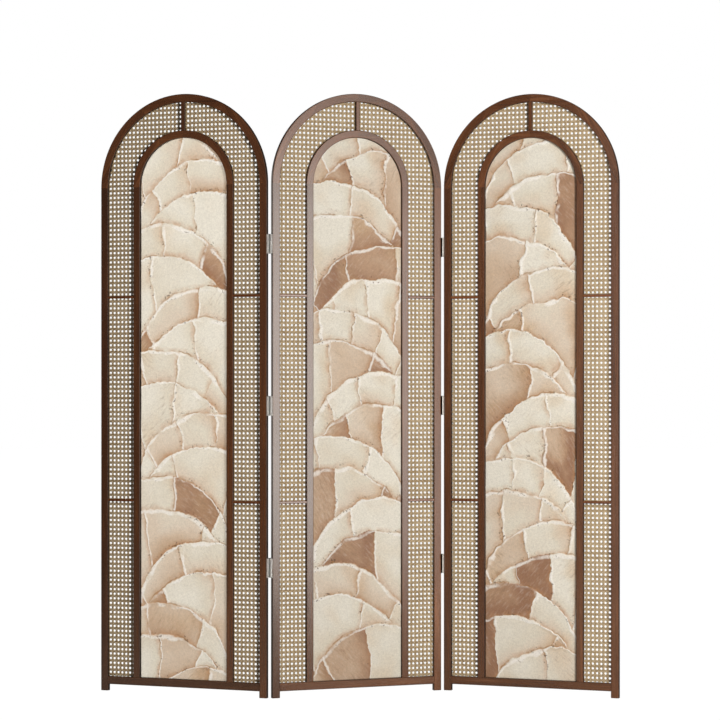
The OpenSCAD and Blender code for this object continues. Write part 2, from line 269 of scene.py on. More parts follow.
    def bump(self, height: Wire, distance: float, strength: float = 1.0) -> Wire:
        """Normal of a surface whose height varies by up to distance."""
        return self.wire("ShaderNodeBump", {"Height": height, "Distance": distance, "Strength": strength})

    def object_place(self) -> Wire:
        """Object coordinates of the shaded point."""
        return self.wire("ShaderNodeTexCoord", output="Object")

    def attribute(self, name: str) -> Wire:
        """A value that is stored on the mesh."""
        return self.wire("ShaderNodeAttribute", output="Fac", attribute_name=name)

    def store(self, geometry: object, name: str, value: Wire) -> Wire:
        """Stores a value on a geometry's points."""
        inputs = {"Geometry": geometry, "Name": name, "Value": value}
        return self.wire("GeometryNodeStoreNamedAttribute", inputs, data_type="FLOAT", domain="POINT")

    def end(self, geometry: object) -> None:
        """Ends a geometry tree: makes instances real and sets the material that the group is given."""
        real = self.wire("GeometryNodeRealizeInstances", {"Geometry": geometry})
        self.give(Geometry=self.wire("GeometryNodeSetMaterial",
                                     {"Geometry": real, "Material": self.given("Material")}))

    def for_camera(self, plain: bpy.types.Node, bright: bpy.types.Node, share: float, output: str) -> None:
        """Ends a shader tree with a shader that only the camera sees, mixed by a share with a plain one."""
        seen = self.wire("ShaderNodeLightPath", output="Is Camera Ray")
        mix = self.add("ShaderNodeMixShader", {0: seen * share, 1: plain, 2: bright})
        self.feed(self.tree.nodes[output].inputs["Surface"], mix)


def start_material(name: str) -> tuple[Tree, bpy.types.Node]:
    """Makes an empty node material.

    Args:
        name: name of the material.

    Returns:
        Its tree and its Principled BSDF, already linked to the output.
    """
    material = bpy.data.materials.new(name)
    material.use_nodes = True
    return Tree(material.node_tree, material=material), material.node_tree.nodes["Principled BSDF"]


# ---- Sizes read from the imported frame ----


def node_points(name: str) -> np.ndarray:
    """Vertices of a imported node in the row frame, one row each."""
    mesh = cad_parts[name].data
    points = np.empty(len(mesh.vertices) * 3)
    mesh.vertices.foreach_get("co", points)
    return points.reshape(-1, 3)


@dataclass(frozen=True)
class Panel:
    """Where one panel stands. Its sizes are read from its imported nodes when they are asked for."""

    name: str
    turn: float
    origin: tuple[float, float]

    @classmethod
    def read(cls, name: str) -> "Panel":
        """Finds a panel's turn from its rail's front face, and its corner from its left stile.

        Args:
            name: left, middle or right.

        Returns:
            The panel.
        """
        faces = [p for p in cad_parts[f"{name}_bottom_rail"].data.polygons
                 if p.normal.y < 0 and abs(p.normal.z) < 0.01]
        normal = max(faces, key=lambda p: p.area).normal
        turn = math.atan2(normal.x, -normal.y)
        c, s = math.cos(turn), math.sin(turn)
        points = node_points(f"{name}_stile_left")[:, :2]
        across, deep = (points @ [c, s]).min(), (points @ [-s, c]).min()
        return cls(name, turn, (across * c - deep * s, across * s + deep * c))

    @property
    def body(self) -> str:
        """The moving body that the panel is."""
        return f"{self.name}_panel"

    def to_row(self, points: np.ndarray) -> np.ndarray:
        """Moves points from the panel frame to the row frame."""
        c, s = math.cos(self.turn), math.sin(self.turn)
        x, y, z = points.T
        return np.stack([self.origin[0] + x * c - y * s, self.origin[1] + x * s + y * c, z], axis=1)

    def from_row(self, points: np.ndarray) -> np.ndarray:
        """Moves points from the row frame to the panel frame."""
        c, s = math.cos(self.turn), math.sin(self.turn)
        x, y = points[:, 0] - self.origin[0], points[:, 1] - self.origin[1]
        return np.stack([x * c + y * s, y * c - x * s, points[:, 2]], axis=1)

    def span(self, piece: str) -> tuple[Vector, Vector]:
        """Lowest and highest corner of one of the panel's nodes, in the panel frame."""
        points = self.from_row(node_points(f"{self.name}_{piece}"))
        return Vector(points.min(axis=0)), Vector(points.max(axis=0))

    @cached_property
    def middle(self) -> float:
        """Half the panel's width, which is also the radius of the outer arch."""
        return self.span("stile_right")[1].x / 2

    @cached_property
    def depth(self) -> float:
        """Thickness of the frame."""
        return self.span("stile_left")[1].y

    @cached_property
    def spring(self) -> float:
        """Height where the arches spring from the stiles."""
        return self.span("stile_left")[1].z

    @cached_property
    def opening_radius(self) -> float:
        """Radius of the inner side of the outer arch."""
        return self.middle - self.span("stile_left")[1].x

    @cached_property
    def inner_radius(self) -> float:
        """Radius of the outer side of the inner arch."""
        return self.middle - self.span("inner_stile_left")[0].x

    @cached_property
    def board_radius(self) -> float:
        """Radius of the inner side of the inner arch."""
        return self.middle - self.span("inner_stile_left")[1].x

    @cached_property
    def rail_top(self) -> float:
        """Height of the bottom rail's top."""
        return self.span("bottom_rail")[1].z

    @cached_property
    def cross_bars(self) -> tuple[float, float, float]:
        """Height of the lower and the upper cross bars' centre lines, and the height of a bar."""
        low, high = self.span("cross_bars")
        z = node_points(f"{self.name}_cross_bars")[:, 2]
        bar = z[z < (low.z + high.z) / 2].max() - low.z
        return low.z + bar / 2, high.z - bar / 2, bar

    @cached_property
    def crown_bar(self) -> float:
        """Width of the upright bar between the crowns."""
        low, high = self.span("crown_bar")
        return high.x - low.x


# ---- Node groups that several finishes share ----


def make_panel_space() -> Tree:
    """Builds the group that turns Object coordinates into panel coordinates."""
    group = Tree.group("panel_space", "ShaderNodeTree",
                       [("Position", "Vector", None), ("Origin", "Vector", None), "Turn"], "XYZ")
    position, origin, turn = group.givens("Position", "Origin", "Turn")
    moved = group.wire("ShaderNodeVectorMath", {0: position, 1: origin}, operation="SUBTRACT")
    turned = group.wire("ShaderNodeVectorRotate", {"Vector": moved, "Angle": turn * -1.0},
                        rotation_type="Z_AXIS")
    x, y, z = group.split(turned)
    group.give(X=x, Y=y, Z=z)
    return group


def make_arch_space() -> Tree:
    """Builds the group that follows an arch sawn from straight-grained lengths."""
    group = Tree.group("arch_space", "ShaderNodeTree", ["X", "Z", "Middle", "Spring", "Segment"],
                       ["Along", "Across", "Radius", "Piece"])
    segment = group.given("Segment")
    x = group.given("X") - group.given("Middle")
    z = group.given("Z") - group.given("Spring")
    radius = (x * x + z * z).root()
    angle = group.angle(z, x)
    piece = (angle / segment).floor()
    off = angle - (piece + 0.5) * segment
    group.give(Along=radius * off.sine(), Across=radius * off.cosine(), Radius=radius, Piece=piece)
    return group


def make_grain() -> Tree:
    """Builds the group for the figure, fibres and pores of sawn wood."""
    group = Tree.group("wood_grain", "ShaderNodeTree",
                       ["Along", "Across", "Depth", "Seed", ("Dark", "Color", None), ("Mid", "Color", None),
                        ("Light", "Color", None), ("Figure", "Float", 1.0), ("Pores", "Float", 1.0)],
                       [("Color", "Color"), "Gloss", "Height"])
    along, across, depth, dark = group.givens("Along", "Across", "Depth", "Dark")
    seed = group.given("Seed") * 3.7

    def streaks(per_metre: float, stretch: float, detail: float, distortion: float = 0.0) -> Wire:
        """Noise drawn out along the grain: per_metre streaks across it, each stretch times as long."""
        place = group.join(across * per_metre + seed, depth * per_metre + seed * 2.0,
                           along * (per_metre / stretch) + seed)
        return group.noise(place, 1.0, detail, 0.55, distortion)

    bands = streaks(46.0, 22.0, 2.0, 0.4)
    figure = streaks(150.0, 26.0, 3.0, 0.8)
    fibre = streaks(900.0, 30.0, 2.0)
    pores = streaks(1900.0, 22.0, 1.0).ease(0.60, 0.72) * group.given("Pores")
    spread = bands - 0.5 + (figure - 0.5) * 0.9 + (fibre - 0.5) * 0.35
    tone = spread * group.given("Figure") + 0.5
    lower = group.blend(tone.ease(0.12, 0.52), dark, group.given("Mid"))
    wood = group.blend(tone.ease(0.48, 0.9), lower, group.given("Light"))
    group.give(Color=group.blend(pores * 0.45, wood, dark),
               Gloss=(fibre - 0.5) * 0.12 + pores * 0.12 + (bands - 0.5) * 0.1,
               Height=fibre * 0.35 - pores)
    return group


def make_edge_wear() -> Tree:
    """Builds the group for the rubbed edges, the flats and the side walls of a length of wood."""
    group = Tree.group("edge_wear", "ShaderNodeTree",
                       ["Across", "Low", "High", "Depth", "Thickness", ("Reach", "Float", 2.2 * MM), "Along"],
                       ["Wear", "Edge", "Wall"])
    flat_far, flat_near, wall_far, wall_near = 2.0 * MM, 1.3 * MM, 0.5 * MM, 0.1 * MM
    across, depth, reach = group.givens("Across", "Depth", "Reach")
    side = (across - group.given("Low")).size().least((across - group.given("High")).size())
    face = depth.size().least((group.given("Thickness") - depth).size())
    inward = (side + face) * -1.0
    patches = group.noise(group.join(across * 60.0, depth * 60.0, group.given("Along") * 22.0), 1.0, 3.0, 0.6)
    wall = (side * -1.0).ease(-wall_far, -wall_near)
    group.give(Wear=inward.ease(reach * -1.0, 0.0) * patches.ease(0.42, 0.62),
               Edge=inward.ease(-flat_far, -flat_near).most(wall), Wall=wall)
    return group


def make_handling() -> Tree:
    """Builds the group for the faint dust and finger marks that vary the gloss of a surface."""
    group = Tree.group("handling", "ShaderNodeTree", [("Position", "Vector", None), ("Amount", "Float", 1.0)],
                       ["Change"])
    broad = group.noise(group.given("Position"), 7.0, 3.0, 0.55)
    fine = group.noise(group.given("Position"), 60.0, 3.0, 0.6)
    group.give(Change=((broad - 0.5) * 0.16 + (fine - 0.5) * 0.08) * group.given("Amount"))
    return group


def make_knife_edge() -> Tree:
    """Builds the group for the raised rim, the crease and the stained margin along a knife stroke's edge; the
    finish uses the rim and the crease for the relief and also for a painted highlight and painted shade.
    """
    group = Tree.group("knife_edge", "ShaderNodeTree",
                       ["Distance", "Near", "Swell", "Rim Mark", "Crease Mark", "Rim", "Crease",
                        ("Margin", "Float", 16.0 * MM)], ["Rim", "Crease", "Margin"])
    distance, near, crease = group.givens("Distance", "Near", "Crease")

    def bell(middle: Number, half: Number) -> Wire:
        """1 at a distance from the edge, falling to 0 on both sides of it."""
        off = (distance - middle) / half
        return (off * off * -1.0 + 1.0).most(0.0)

    rim = group.given("Rim") * (group.given("Swell").ease(0.3, 0.7) * 1.5 + 0.4)
    margin = (distance / group.given("Margin") + 1.0).most(0.0) * (distance * -1.0).ease(-3.0 * MM, 0.0)
    group.give(Rim=bell(rim * 0.5, rim * 0.5) * group.given("Rim Mark").ease(0.34, 0.52) * near,
               Crease=bell(crease * -0.7, crease) * group.given("Crease Mark").ease(0.44, 0.62) * near,
               Margin=margin * near)
    return group


@dataclass(frozen=True)
class SharedGroups:
    """The node groups that the finishes place, each built once."""

    panel_space: Tree
    arch_space: Tree
    grain: Tree
    edge_wear: Tree
    knife_edge: Tree
    handling: Tree

    @classmethod
    def build(cls) -> "SharedGroups":
        """Builds the groups."""
        return cls(make_panel_space(), make_arch_space(), make_grain(), make_edge_wear(), make_knife_edge(),
                   make_handling())


# ---- Finishes ----


class Run(Enum):
    """How a length of wood runs."""

    UPRIGHT = "upright"
    LEVEL = "level"
    ARCH = "arch"


@dataclass(frozen=True)
class Stick:
    """One length of wood: how it runs and where its two sides lie, across its run."""

    run: Run
    low: float
    high: float
    seed: float
    # Painted light: how much lighter or darker the piece is made for the light that falls on it.
    lightness: float = 1.0


def scaled(colour: Colour, share: float) -> Colour:
    """A colour made lighter or darker."""
    return (colour[0] * share, colour[1] * share, colour[2] * share, 1.0)


@dataclass(frozen=True)
class StainedWood:
    """Wood with an open grain under stain and satin lacquer, with painted shade on its flats and side walls.
    """

    dark: Colour
    mid: Colour
    light: Colour
    worn: Colour
    roughness: float
    coat: float
    coat_roughness: float = 0.2
    density: float = 1.6
    figure: float = 1.0
    pores: float = 1.0
    segment: float = math.radians(60)
    worn_share: float = 0.4
    worn_dullness: float = 0.1
    # The flats and the side walls are darkened by painted shade.
    edge_shade: float = 0.3
    edge_dullness: float = 0.4
    edge_bareness: float = 0.9
    wall_shade: float = 0.5

    def material(self, name: str, panel: Panel, stick: Stick, groups: SharedGroups) -> bpy.types.Material:
        """Makes the material of one length of wood.

        Args:
            name: name of the material.
            panel: the panel that the wood is in.
            stick: how the wood runs.
            groups: the shared node groups.

        Returns:
            The material.
        """
        tree, shader = start_material(name)
        place = tree.object_place()
        space = tree.use(groups.panel_space, Position=place, Origin=(*panel.origin, 0.0), Turn=panel.turn)
        x, y, z = (tree.out(space, axis) for axis in "XYZ")
        seed: Number = stick.seed
        if stick.run is Run.ARCH:
            arch = tree.use(groups.arch_space, X=x, Z=z, Middle=panel.middle, Spring=panel.spring,
                            Segment=self.segment)
            along, across, side = (tree.out(arch, n) for n in ("Along", "Across", "Radius"))
            seed = tree.out(arch, "Piece") * 2.3 + stick.seed
        elif stick.run is Run.LEVEL:
            along, across, side = x, z, z
        else:
            along, across, side = z, x, x
        # Painted light: the piece's lightness scales the walnut's colours.
        dark, mid, light = (scaled(c, stick.lightness) for c in (self.dark, self.mid, self.light))
        grain = tree.use(groups.grain, Along=along, Across=across, Depth=y, Seed=seed, Dark=dark, Mid=mid,
                         Light=light, Figure=self.figure, Pores=self.pores)
        edges = tree.use(groups.edge_wear, Across=side, Low=stick.low, High=stick.high, Depth=y,
                         Thickness=panel.depth, Along=along)
        wear, edge, wall = (tree.out(edges, n) for n in ("Wear", "Edge", "Wall"))
        handling = tree.out(tree.use(groups.handling, Position=place))
        worn = tree.blend(wear * self.worn_share, tree.out(grain, "Color"), self.worn)
        # Painted shade: the flats, and the side walls more, are darkened in the base colour.
        tree.fill(shader,
                  Base_Color=tree.shaded(worn, edge * -self.edge_shade + wall * -self.wall_shade + 1.0),
                  Roughness=(tree.out(grain, "Gloss") + handling + wear * self.worn_dullness
                             + edge * self.edge_dullness + self.roughness),
                  Normal=tree.bump(tree.out(grain, "Height"), 0.03 * MM, 0.6),
                  Coat_Weight=edge * (-self.edge_bareness * self.coat) + self.coat,
                  Coat_Roughness=self.coat_roughness, IOR=self.density, Coat_IOR=self.density)
        return tree.material


@dataclass(frozen=True)
class CaneFinish:
    """Peeled rattan skin, straw coloured, with a dull gloss, paler and browner strands, and painted shade
    along each strand's edges.
    """

    pale: Colour = tint("#c8b798")
    mid: Colour = tint("#af9b7b")
    brown: Colour = tint("#8e7655")
    roughness: float = 0.5
    lightness: float = 1.0

    def material(self, name: str, groups: SharedGroups) -> bpy.types.Material:
        """Makes the material of a border's strands, from what the webbing stores on its mesh."""
        tree, shader = start_material(name)
        strand, across, along = (tree.attribute(n) for n in ("strand", "across", "along"))
        skin_place = tree.join(across * 1.5 + strand * 40.0, strand * 90.0, along * 26.0)
        streak = tree.noise(skin_place, 1.0, 3.0, 0.6)
        nodes = tree.noise(tree.join(strand * 70.0, 0.0, along * 5.0), 1.0, 2.0, 0.5)
        fibre = tree.noise(tree.join(across * 9.0, strand * 50.0, along * 60.0), 1.0, 2.0, 0.6)
        tone = streak * 0.55 + strand * 0.4 + (nodes - 0.5) * 0.5
        pale, mid, brown = (scaled(c, self.lightness) for c in (self.pale, self.mid, self.brown))
        skin = tree.ramp(tone, [(0.12, brown), (0.45, mid), (0.8, pale)])
        # Painted shade: the strands darken towards their sides, and get rougher there.
        edge = across.size().ease(0.72, 1.0)
        handling = tree.out(tree.use(groups.handling, Position=tree.object_place(), Amount=0.6))
        tree.fill(shader, Base_Color=tree.blend(edge * 0.45, skin, brown),
                  Roughness=streak * 0.14 + edge * 0.15 + handling + self.roughness,
                  Normal=tree.bump(fibre, 0.06 * MM, 0.5), Coat_Weight=0.12, Coat_Roughness=0.35)
        return tree.material


@dataclass(frozen=True)
class PlasterFinish:
    """Thick tinted plaster laid on with a knife, with a painted highlight on its raised rims, brown painted
    shade in its creases, and stained margins.
    """

    lightness: float = 1.0
    cream: Colour = tint("#f0eee4")
    ivory: Colour = tint("#e8e3d5")
    blush: Colour = tint("#e3d6c6")
    sand: Colour = tint("#d6c1ab")
    tan: Colour = tint("#bf9f84")
    cocoa: Colour = tint("#a17b62")
    # Painted light: a highlight colour for the raised rims and comb ridges, and shade colours for the
    # creases, the comb grooves and the pits.
    crest: Colour = tint("#fffefb")
    crease: Colour = tint("#a37a48")
    ochre: Colour = tint("#dcc09a")
    stain: Colour = tint("#c3936a")
    pit: Colour = tint("#5a4632")
    lip_rim: float = 9.0 * MM
    lip_crease: float = 2.2 * MM
    seam_rim: float = 7.5 * MM
    seam_crease: float = 1.8 * MM
    roughness: float = 0.62

    def material(self, name: str, groups: SharedGroups) -> bpy.types.Material:
        """Makes the material of a coat, from the strokes that are stored on its mesh."""
        tree, shader = start_material(name)
        place = tree.object_place()
        stored = (tree.attribute(n) for n in ("shade", "warm", "comb", "combed", "stain"))
        shade, warm, comb, combed, soak = stored
        edges = []
        for kind, offset, rim, crease in (("lip", 0.0, self.lip_rim, self.lip_crease),
                                          ("seam", 5.0, self.seam_rim, self.seam_crease)):
            shifted = tree.wire("ShaderNodeVectorMath", {0: place, 1: (offset,) * 3}, operation="ADD")
            edges.append(tree.use(groups.knife_edge, Distance=tree.attribute(kind),
                                  Near=tree.attribute(kind + "_near"), Rim=rim, Crease=crease,
                                  Rim_Mark=tree.noise(shifted, 15.0, 3.0, 0.6),
                                  Swell=tree.noise(shifted, 9.0, 2.0, 0.6),
                                  Crease_Mark=tree.noise(shifted, 24.0, 3.0, 0.65)))
        rim, crease, margin = (tree.out(edges[0], n).most(tree.out(edges[1], n))
                               for n in ("Rim", "Crease", "Margin"))
        cloud, mottle = tree.noise(place, 16.0, 4.0, 0.6), tree.noise(place, 260.0, 3.0, 0.7)
        patches = tree.noise(place, 34.0, 3.0, 0.6)
        tone = shade + soak * 0.36 + margin * 0.1 + (cloud - 0.5) * 0.2 + (mottle - 0.5) * 0.12 - 0.08
        body = tree.ramp(tone, [(0.04, self.cream), (0.2, self.ivory), (0.38, self.blush), (0.56, self.sand),
                                (0.76, self.tan), (0.95, self.cocoa)])
        tinged = tree.blend((warm + (patches - 0.5) * 0.4).ease(0.2, 1.0) * 0.3, body, self.ochre)
        edged = tree.blend(margin * (soak * 0.6 + 0.4) * patches.ease(0.35, 0.6) * 0.7, tinged, self.stain)
        # Painted highlight on the raised rims.
        raised = tree.blend(rim * 0.8, edged, self.crest)
        x, _, z = tree.split(place)
        streak = tree.noise(tree.join(comb * 0.18, x * 40.0, z * 40.0), 1.0, 2.0, 0.6)
        sharp = ((streak - 0.5) * 4.0).least(1.0).most(-1.0)
        grooves = sharp * (combed * 1.6).least(1.0) * (rim * -0.8 + 1.0)
        # Painted shade in the comb grooves, and a painted highlight on the comb ridges.
        painted_groove_shade = tree.blend((grooves * -1.0).ease(0.0, 1.0) * 0.5, raised, scaled(self.tan, 0.6))
        ridges = tree.blend(grooves.ease(0.0, 1.0) * 0.16, painted_groove_shade, self.crest)
        # Painted shade in the creases beside the rims.
        creased = tree.blend(crease * 0.7, ridges, self.crease)
        # Painted shade in small pits near the stroke edges.
        near_edge = margin.most(rim).ease(0.1, 0.6) * tree.noise(place, 14.0, 2.0, 0.5).ease(0.45, 0.6)
        pits = tree.noise(place, 150.0, 1.0, 0.5).ease(0.62, 0.68) * near_edge
        pitted = tree.blend(pits * 0.75, creased, self.pit)
        fine, broad = tree.noise(place, 330.0, 1.0, 0.5), tree.noise(place, 140.0, 2.0, 0.6)
        stipple = ((mottle - 0.5) * 0.26 + (fine - 0.5) * 0.34 + (broad - 0.5) * 0.26 + 1.0) * self.lightness
        grit = tree.noise(place, 900.0, 2.0, 0.6)
        height = grooves * 0.5 + mottle * 0.6 + grit * 0.12 + cloud * 0.5 + rim * 1.1 - crease - pits * 0.8
        handling = tree.out(tree.use(groups.handling, Position=place))
        tree.fill(shader, Base_Color=tree.shaded(pitted, stipple), Normal=tree.bump(height, 0.22 * MM, 0.9),
                  Roughness=handling + self.roughness)
        return tree.material


@dataclass(frozen=True)
class BrushedSteel:
    """Steel sheet brushed along its length, with its knuckle in two other tones, left and right, that paint
    the knuckle's light and shade.
    """

    colour: Colour = tint("#dcdbd9")
    dull: Colour = tint("#a9a9a8")
    roughness: float = 0.3
    # Painted light and shade on the knuckle: its colour on the right half, and a darker one on the left half.
    knuckle: Colour = tint("#989b9a")
    knuckle_left: Colour = tint("#8a8d8c")
    knuckle_radius: float = 4.0 * MM

    def material(self, name: str, groups: SharedGroups,
                 axis: tuple[float, float] = (9.0, 9.0)) -> bpy.types.Material:
        """Makes the material of a hinge part or a screw.

        Args:
            name: name of the material.
            groups: the shared node groups.
            axis: where the hinge's upright axis stands, far away for a part that has no knuckle.

        Returns:
            The material.
        """
        tree, shader = start_material(name)
        place = tree.object_place()
        x, y, z = tree.split(place)
        off_x, off_y = x - axis[0], y - axis[1]
        knuckle = (off_x * off_x + off_y * off_y).root().ease(self.knuckle_radius * 1.3, self.knuckle_radius)
        brushing = tree.noise(tree.join(x * 2600.0, y * 2600.0, z * 60.0), 1.0, 2.0, 0.6)
        haze = tree.noise(place, 70.0, 3.0, 0.6)
        plate = tree.blend(brushing * 0.5 + haze * 0.3, self.colour, self.dull)
        # Painted light and shade: the knuckle's left half and right half get their own colours.
        rolled = tree.blend(off_x.ease(-1.6 * MM, 0.6 * MM), self.knuckle_left, self.knuckle)
        handling = tree.out(tree.use(groups.handling, Position=place))
        tree.fill(shader, Base_Color=tree.blend(knuckle, plate, rolled),
                  Roughness=brushing * 0.14 + haze * 0.08 + handling + self.roughness,
                  Normal=tree.bump(brushing, 0.03 * MM, 0.4), Metallic=1.0)
        return tree.material


WALNUT = StainedWood(dark=tint("#301a0c"), mid=tint("#4b2c17"), light=tint("#684125"), worn=tint("#83583a"),
                     roughness=0.23, coat=1.0, figure=0.75, pores=0.6)
VENEER = StainedWood(dark=tint("#a98a62"), mid=tint("#c8ab84"), light=tint("#dcc4a0"), worn=tint("#e2cfae"),
                     roughness=0.5, coat=0.1, figure=0.7, pores=0.4)


# ---- Wooden frame ----


# Painted light: how much lighter or darker each piece is made in the left, the middle and the right panel,
# against the walnut's own colours, to stand in for the light that falls on it.
WOOD_PAINTED_LIGHT = {
    "stile_left": (0.72, 0.92, 1.08), "stile_right": (1.06, 1.8, 1.45),
    "inner_stile_left": (0.85, 1.0, 1.1), "inner_stile_right": (1.1, 1.35, 1.3),
    "crown_bar": (0.75, 1.5, 1.15), "bottom_rail": (0.75, 1.4, 1.3), "cross_bars": (1.4, 1.7, 2.0),
    "arch_left": (1.1, 1.15, 1.25), "arch_right": (1.2, 1.4, 1.3),
    "inner_arch_left": (1.1, 1.2, 1.25), "inner_arch_right": (1.3, 1.55, 1.6)}


@dataclass(frozen=True)
class Joinery:
    """The wooden pieces of one panel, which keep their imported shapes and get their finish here."""

    panel: Panel
    groups: SharedGroups

    def stick(self, piece: str, number: int) -> Stick:
        """Finds how one piece of the frame runs.

        Args:
            piece: name of the piece.
            number: its number in the list of pieces, which picks its grain.

        Returns:
            The piece as a length of wood.
        """
        panel = self.panel
        low, high = panel.span(piece)
        if piece.startswith("inner_arch"):
            run, sides = Run.ARCH, (panel.board_radius, panel.inner_radius)
        elif piece.startswith("arch"):
            run, sides = Run.ARCH, (panel.opening_radius, panel.middle)
        elif piece in ("bottom_rail", "cross_bars"):
            run, sides = Run.LEVEL, (low.z, high.z)
        else:
            run, sides = Run.UPRIGHT, (low.x, high.x)
        row = PANELS.index(panel.name)
        return Stick(run, *sides, 11.0 * (row + 1) + number, WOOD_PAINTED_LIGHT[piece][row])

    def dress(self) -> None:
        """Gives every wooden piece its material."""
        name = self.panel.name
        for number, piece in enumerate(WOOD_PAINTED_LIGHT):
            stick = self.stick(piece, number)
            dress_node(f"{name}_{piece}",
                       WALNUT.material(f"walnut_{name}_{piece}", self.panel, stick, self.groups))
        low, high = self.panel.span("board")
        for piece, wood, stick in (("board", "veneer", Stick(Run.UPRIGHT, low.x, high.x, 5.0)),
                                   ("dowels", "dowel", Stick(Run.UPRIGHT, 0.0, 1.0, 8.0))):
            dress_node(f"{name}_{piece}", VENEER.material(f"{wood}_{name}", self.panel, stick, self.groups))


def dress_node(node: str, material: bpy.types.Material) -> None:
    """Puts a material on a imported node."""
    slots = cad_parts[node].data.materials
    slots.clear()
    slots.append(material)
    LOG.info("dressed %s with %s", node, material.name)


# ---- Cane webbing ----


@dataclass(frozen=True)
class Weave:
    """Sizes of six-way cane webbing: upright and level pairs of strands, and single slanting ones."""

    column_pitch: float = 13.05 * MM
    row_pitch: float = 13.97 * MM
    upright_width: float = 3.4 * MM
    level_width: float = 3.7 * MM
    slant_width: float = 2.95 * MM
    upright_spread: float = 1.7 * MM
    level_spread: float = 1.88 * MM
    thickness: float = 0.5 * MM
    pair_wave: float = 0.26 * MM
    slant_wave: float = 0.52 * MM
    slant_hold: float = 0.17
    bar_tuck: float = 2.1 * MM

    def inputs(self) -> dict[str, float]:
        """The sizes by the names that they have in the webbing tree."""
        return {f.name.replace("_", " ").title(): getattr(self, f.name) for f in fields(self)}


class Strands(Enum):
    """The four directions that strands run in."""

    UPRIGHT = 0
    LEVEL = 1
    RISING = 2
    FALLING = 3


GEOMETRY = ("Geometry", "Geometry", None)
BORDER_SIZES = ("Outer", "Inner", "Bar", "Middle", "Spring", "Side", "Depth", "Column Shift", "Row Shift",
                *(name for name in Weave().inputs() if name != "Bar Tuck"))


